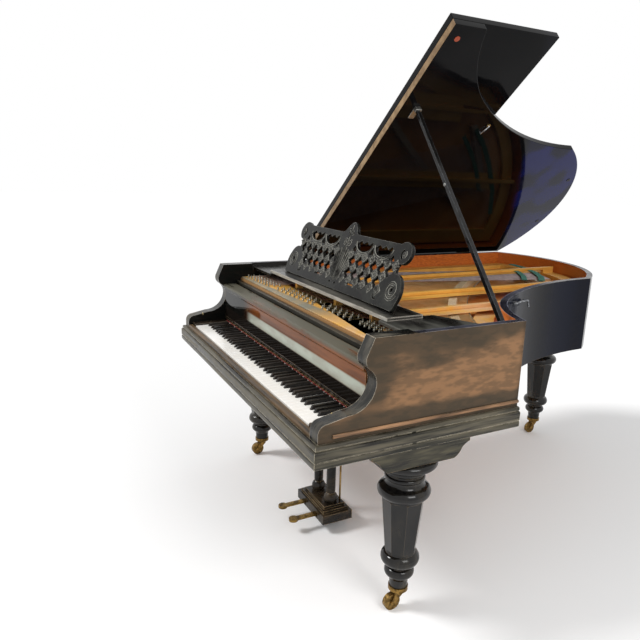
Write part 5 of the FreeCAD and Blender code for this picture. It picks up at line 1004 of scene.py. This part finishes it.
# The brackets are streaked like the moulding, with orange wood along their edges.
bracket_polish = ebonised("ebonised_bracket", "55503f", "c09a6c", 0.45, 0.18, (8, 8, 1), "1b1b15", patch=30)
finish(bracket_polish, "leg_brackets")
finish(brass, "caster_cups", "bass_fork", "treble_fork", "tail_fork")
finish(metal("wheel_brass", "8f7240", "46361a", 0.34, 10), "bass_wheel", "treble_wheel", "tail_wheel")
soften(0.002, "leg_brackets")
soften(0.0008, "bass_fork", "treble_fork", "tail_fork")

# Pedal lyre: a stepped box on posts under the keybed, with two brass pedals and their lift rods.
# Black polish with tan, kicked edges; the pedals are cast brass, bright on top from shoes.
finish(ebonised("ebonised_lyre", "4a3d2c", "a98f68", 0.28, 0.12, (3, 3, 1)), "lyre_box", "lyre_posts")
finish(metal("pedal_brass", "94773f", "3d2f1c", 0.24, 30), "soft_pedal", "sustain_pedal")
finish(metal("rod_brass", "a88a55", "6d5530", 0.3, 30), "soft_pedal_rod", "sustain_pedal_rod")
soften(0.0015, "lyre_box")
soften(0.002, "soft_pedal", "sustain_pedal")

# Small fittings: a steel hook on the bentside, its eye under the lid, a stud on the prop and one in each arm.
# The hook is bent from rod and held by two staples; the eye has a round brass plate screwed to the lid.
# The studs are turned and screwed in.
HOOK_RADIUS = 0.0038
STAPLE_RADIUS = 0.0055
LID_TURN = math.radians(141.3)
PLATE_SPOT = Vector((0.077, 0.0745, 1.615))
PLATE_RADIUS = 0.0085
PLATE_THICK = 0.003
EYE_SPOT = Vector((0.046, 0.059, 1.590))
EYE_RADIUS = 0.003
PROP_STUD_RADIUS = 0.0065
PROP_STUD_SPOT = (0.330, -0.3175, 1.383)
ARM_STUD_RADIUS = 0.006
ARM_STUD_SPOTS = ((-0.6612, -0.909, 0.75), (0.6612, -0.909, 0.75))
hook_path = [(0.4105, -0.0135, 0.951), (0.3575, 0.0795, 0.945)]
hook_path += [(0.3275, 0.1425, 0.938), (0.3265, 0.1485, 0.912)]
staple_paths = []
for across, along, up in ((0.3905, 0.0195, 0.949), (0.3385, 0.1195, 0.941)):
    staple_paths.append([(across - 0.012, along - 0.0068, up), (across + 0.004, along + 0.002, up)])
hook_rod = wires("hook_rod", [hook_path], HOOK_RADIUS, 2)
lid_hook = joined([hook_rod, wires("hook_staples", staple_paths, STAPLE_RADIUS, 2)])
# Bright steel with dark tarnish in the corners; the small brass is still yellow.
settle(lid_hook, "lid_hook", metal("hook_steel", "a9acb2", "3c3b3a", 0.25, 20), "case")
under_lid = Vector((math.sin(LID_TURN), 0, math.cos(LID_TURN)))
eye_path = [PLATE_SPOT, PLATE_SPOT + 0.006 * under_lid, EYE_SPOT + 0.009 * under_lid, EYE_SPOT]
lid_eye = wires("eye_rod", [eye_path], EYE_RADIUS, 2)
settle(lid_eye, "lid_eye", metal("eye_steel", "c9cbd0", "6b6a68", 0.25, 10), "lid")
bpy.ops.object.select_all(action="DESELECT")
bpy.ops.mesh.primitive_cylinder_add(vertices=24, radius=PLATE_RADIUS, depth=PLATE_THICK)
eye_plate = bpy.context.object
eye_plate.data.transform(Matrix.Rotation(LID_TURN, 4, "Y"))
eye_plate.data.transform(Matrix.Translation(PLATE_SPOT + 0.0012 * under_lid))
settle(eye_plate, "lid_eye_plate", metal("eye_brass", "d6b878", "94763f", 0.25, 4), "lid")
bpy.ops.object.select_all(action="DESELECT")
bpy.ops.mesh.primitive_uv_sphere_add(segments=12, ring_count=8, radius=ARM_STUD_RADIUS)
arm_stud = bpy.context.object
arm_stud.data.transform(Matrix.Diagonal((0.25, 1, 1, 1)))
arm_studs = copies(arm_stud, [Matrix.Translation(spot) for spot in ARM_STUD_SPOTS])
settle(arm_studs, "arm_studs", metal("stud_brass", "d9c79a", "8d7648", 0.25, 4), "case")
bpy.ops.object.select_all(action="DESELECT")
bpy.ops.mesh.primitive_uv_sphere_add(segments=12, ring_count=8, radius=PROP_STUD_RADIUS)
prop_stud = bpy.context.object
prop_stud.data.transform(Matrix.Translation(PROP_STUD_SPOT) @ Matrix.Diagonal((1, 0.5, 1, 1)))
settle(prop_stud, "prop_stud", metal("stud_steel", "9c9c98", "5f5e5a", 0.3, 4), "lid_prop")

# Studio: a pale floor that runs into a white backdrop, one big soft lamp from the front left.
# A weaker lamp from the treble side reaches in under the lid.
WORLD_LIGHT = 0.62
bpy.ops.object.select_all(action="DESELECT")
bpy.ops.mesh.primitive_plane_add(size=60, location=(0, 0, 0))
floor = bpy.context.object
floor.name = "floor"
# White card: quite matt.
floor_card, tree, _ = blank("pale_floor")
surface = {"Base Color": "ffffff", "Roughness": 0.9, "Specular IOR Level": 0.0}
add(tree, "OutputMaterial", {"Surface": add(tree, "BsdfPrincipled", surface)})
floor.data.materials.append(floor_card)

world = bpy.data.worlds.new("studio")
bpy.context.scene.world = world
world.use_nodes = True
tree = world.node_tree
tree.nodes.clear()
camera_ray = add(tree, "LightPath", {}, "Is Camera Ray")
glossy_ray = add(tree, "LightPath", {}, "Is Glossy Ray")
clear_ray = add(tree, "LightPath", {}, "Is Transmission Ray")
seen = add(tree, "Math", {0: camera_ray, 1: glossy_ray}, operation="MAXIMUM")
seen = add(tree, "Math", {0: seen, 1: clear_ray}, operation="MAXIMUM")
strength = add(tree, "MapRange", {"Value": seen, "To Min": WORLD_LIGHT}, **SMOOTH)
backdrop = add(tree, "Background", {"Color": "ffffff", "Strength": strength})
add(tree, "OutputWorld", {"Surface": backdrop})

bpy.ops.object.light_add(type="SUN", location=(-2, -4, 4))
key_light = bpy.context.object
key_light.name = "key_light"
key_light.data.energy = 1.75
key_light.data.angle = math.radians(16)
key_way = Vector((0.42, 0.72, -0.85))
key_light.rotation_euler = key_way.to_track_quat("-Z", "Y").to_euler()
bpy.ops.object.light_add(type="AREA", location=(2.6, -0.4, 2.3))
fill_light = bpy.context.object
fill_light.name = "fill_light"
fill_light.data.size = 1.2
fill_light.data.energy = 30
fill_way = Vector((0.1, 0.1, 0.9)) - fill_light.location
fill_light.rotation_euler = fill_way.to_track_quat("-Z", "Y").to_euler()

bpy.ops.object.camera_add()
camera = bpy.context.object
spin = Matrix.Rotation(math.radians(61.32), 4, "Z")
tilt = Matrix.Rotation(math.radians(75.70), 4, "X")
roll = Matrix.Rotation(math.radians(1.917), 4, "Z")
camera.matrix_world = Matrix.Translation((2.0823, -1.6561, 1.4170)) @ spin @ tilt @ roll
camera.data.sensor_width = 36
camera.data.lens = 34.24
camera.data.shift_x = -0.0378
camera.data.shift_y = 0.0101
bpy.context.scene.camera = camera
bpy.context.scene.view_settings.view_transform = "Standard"

bpy.context.view_layer.update()
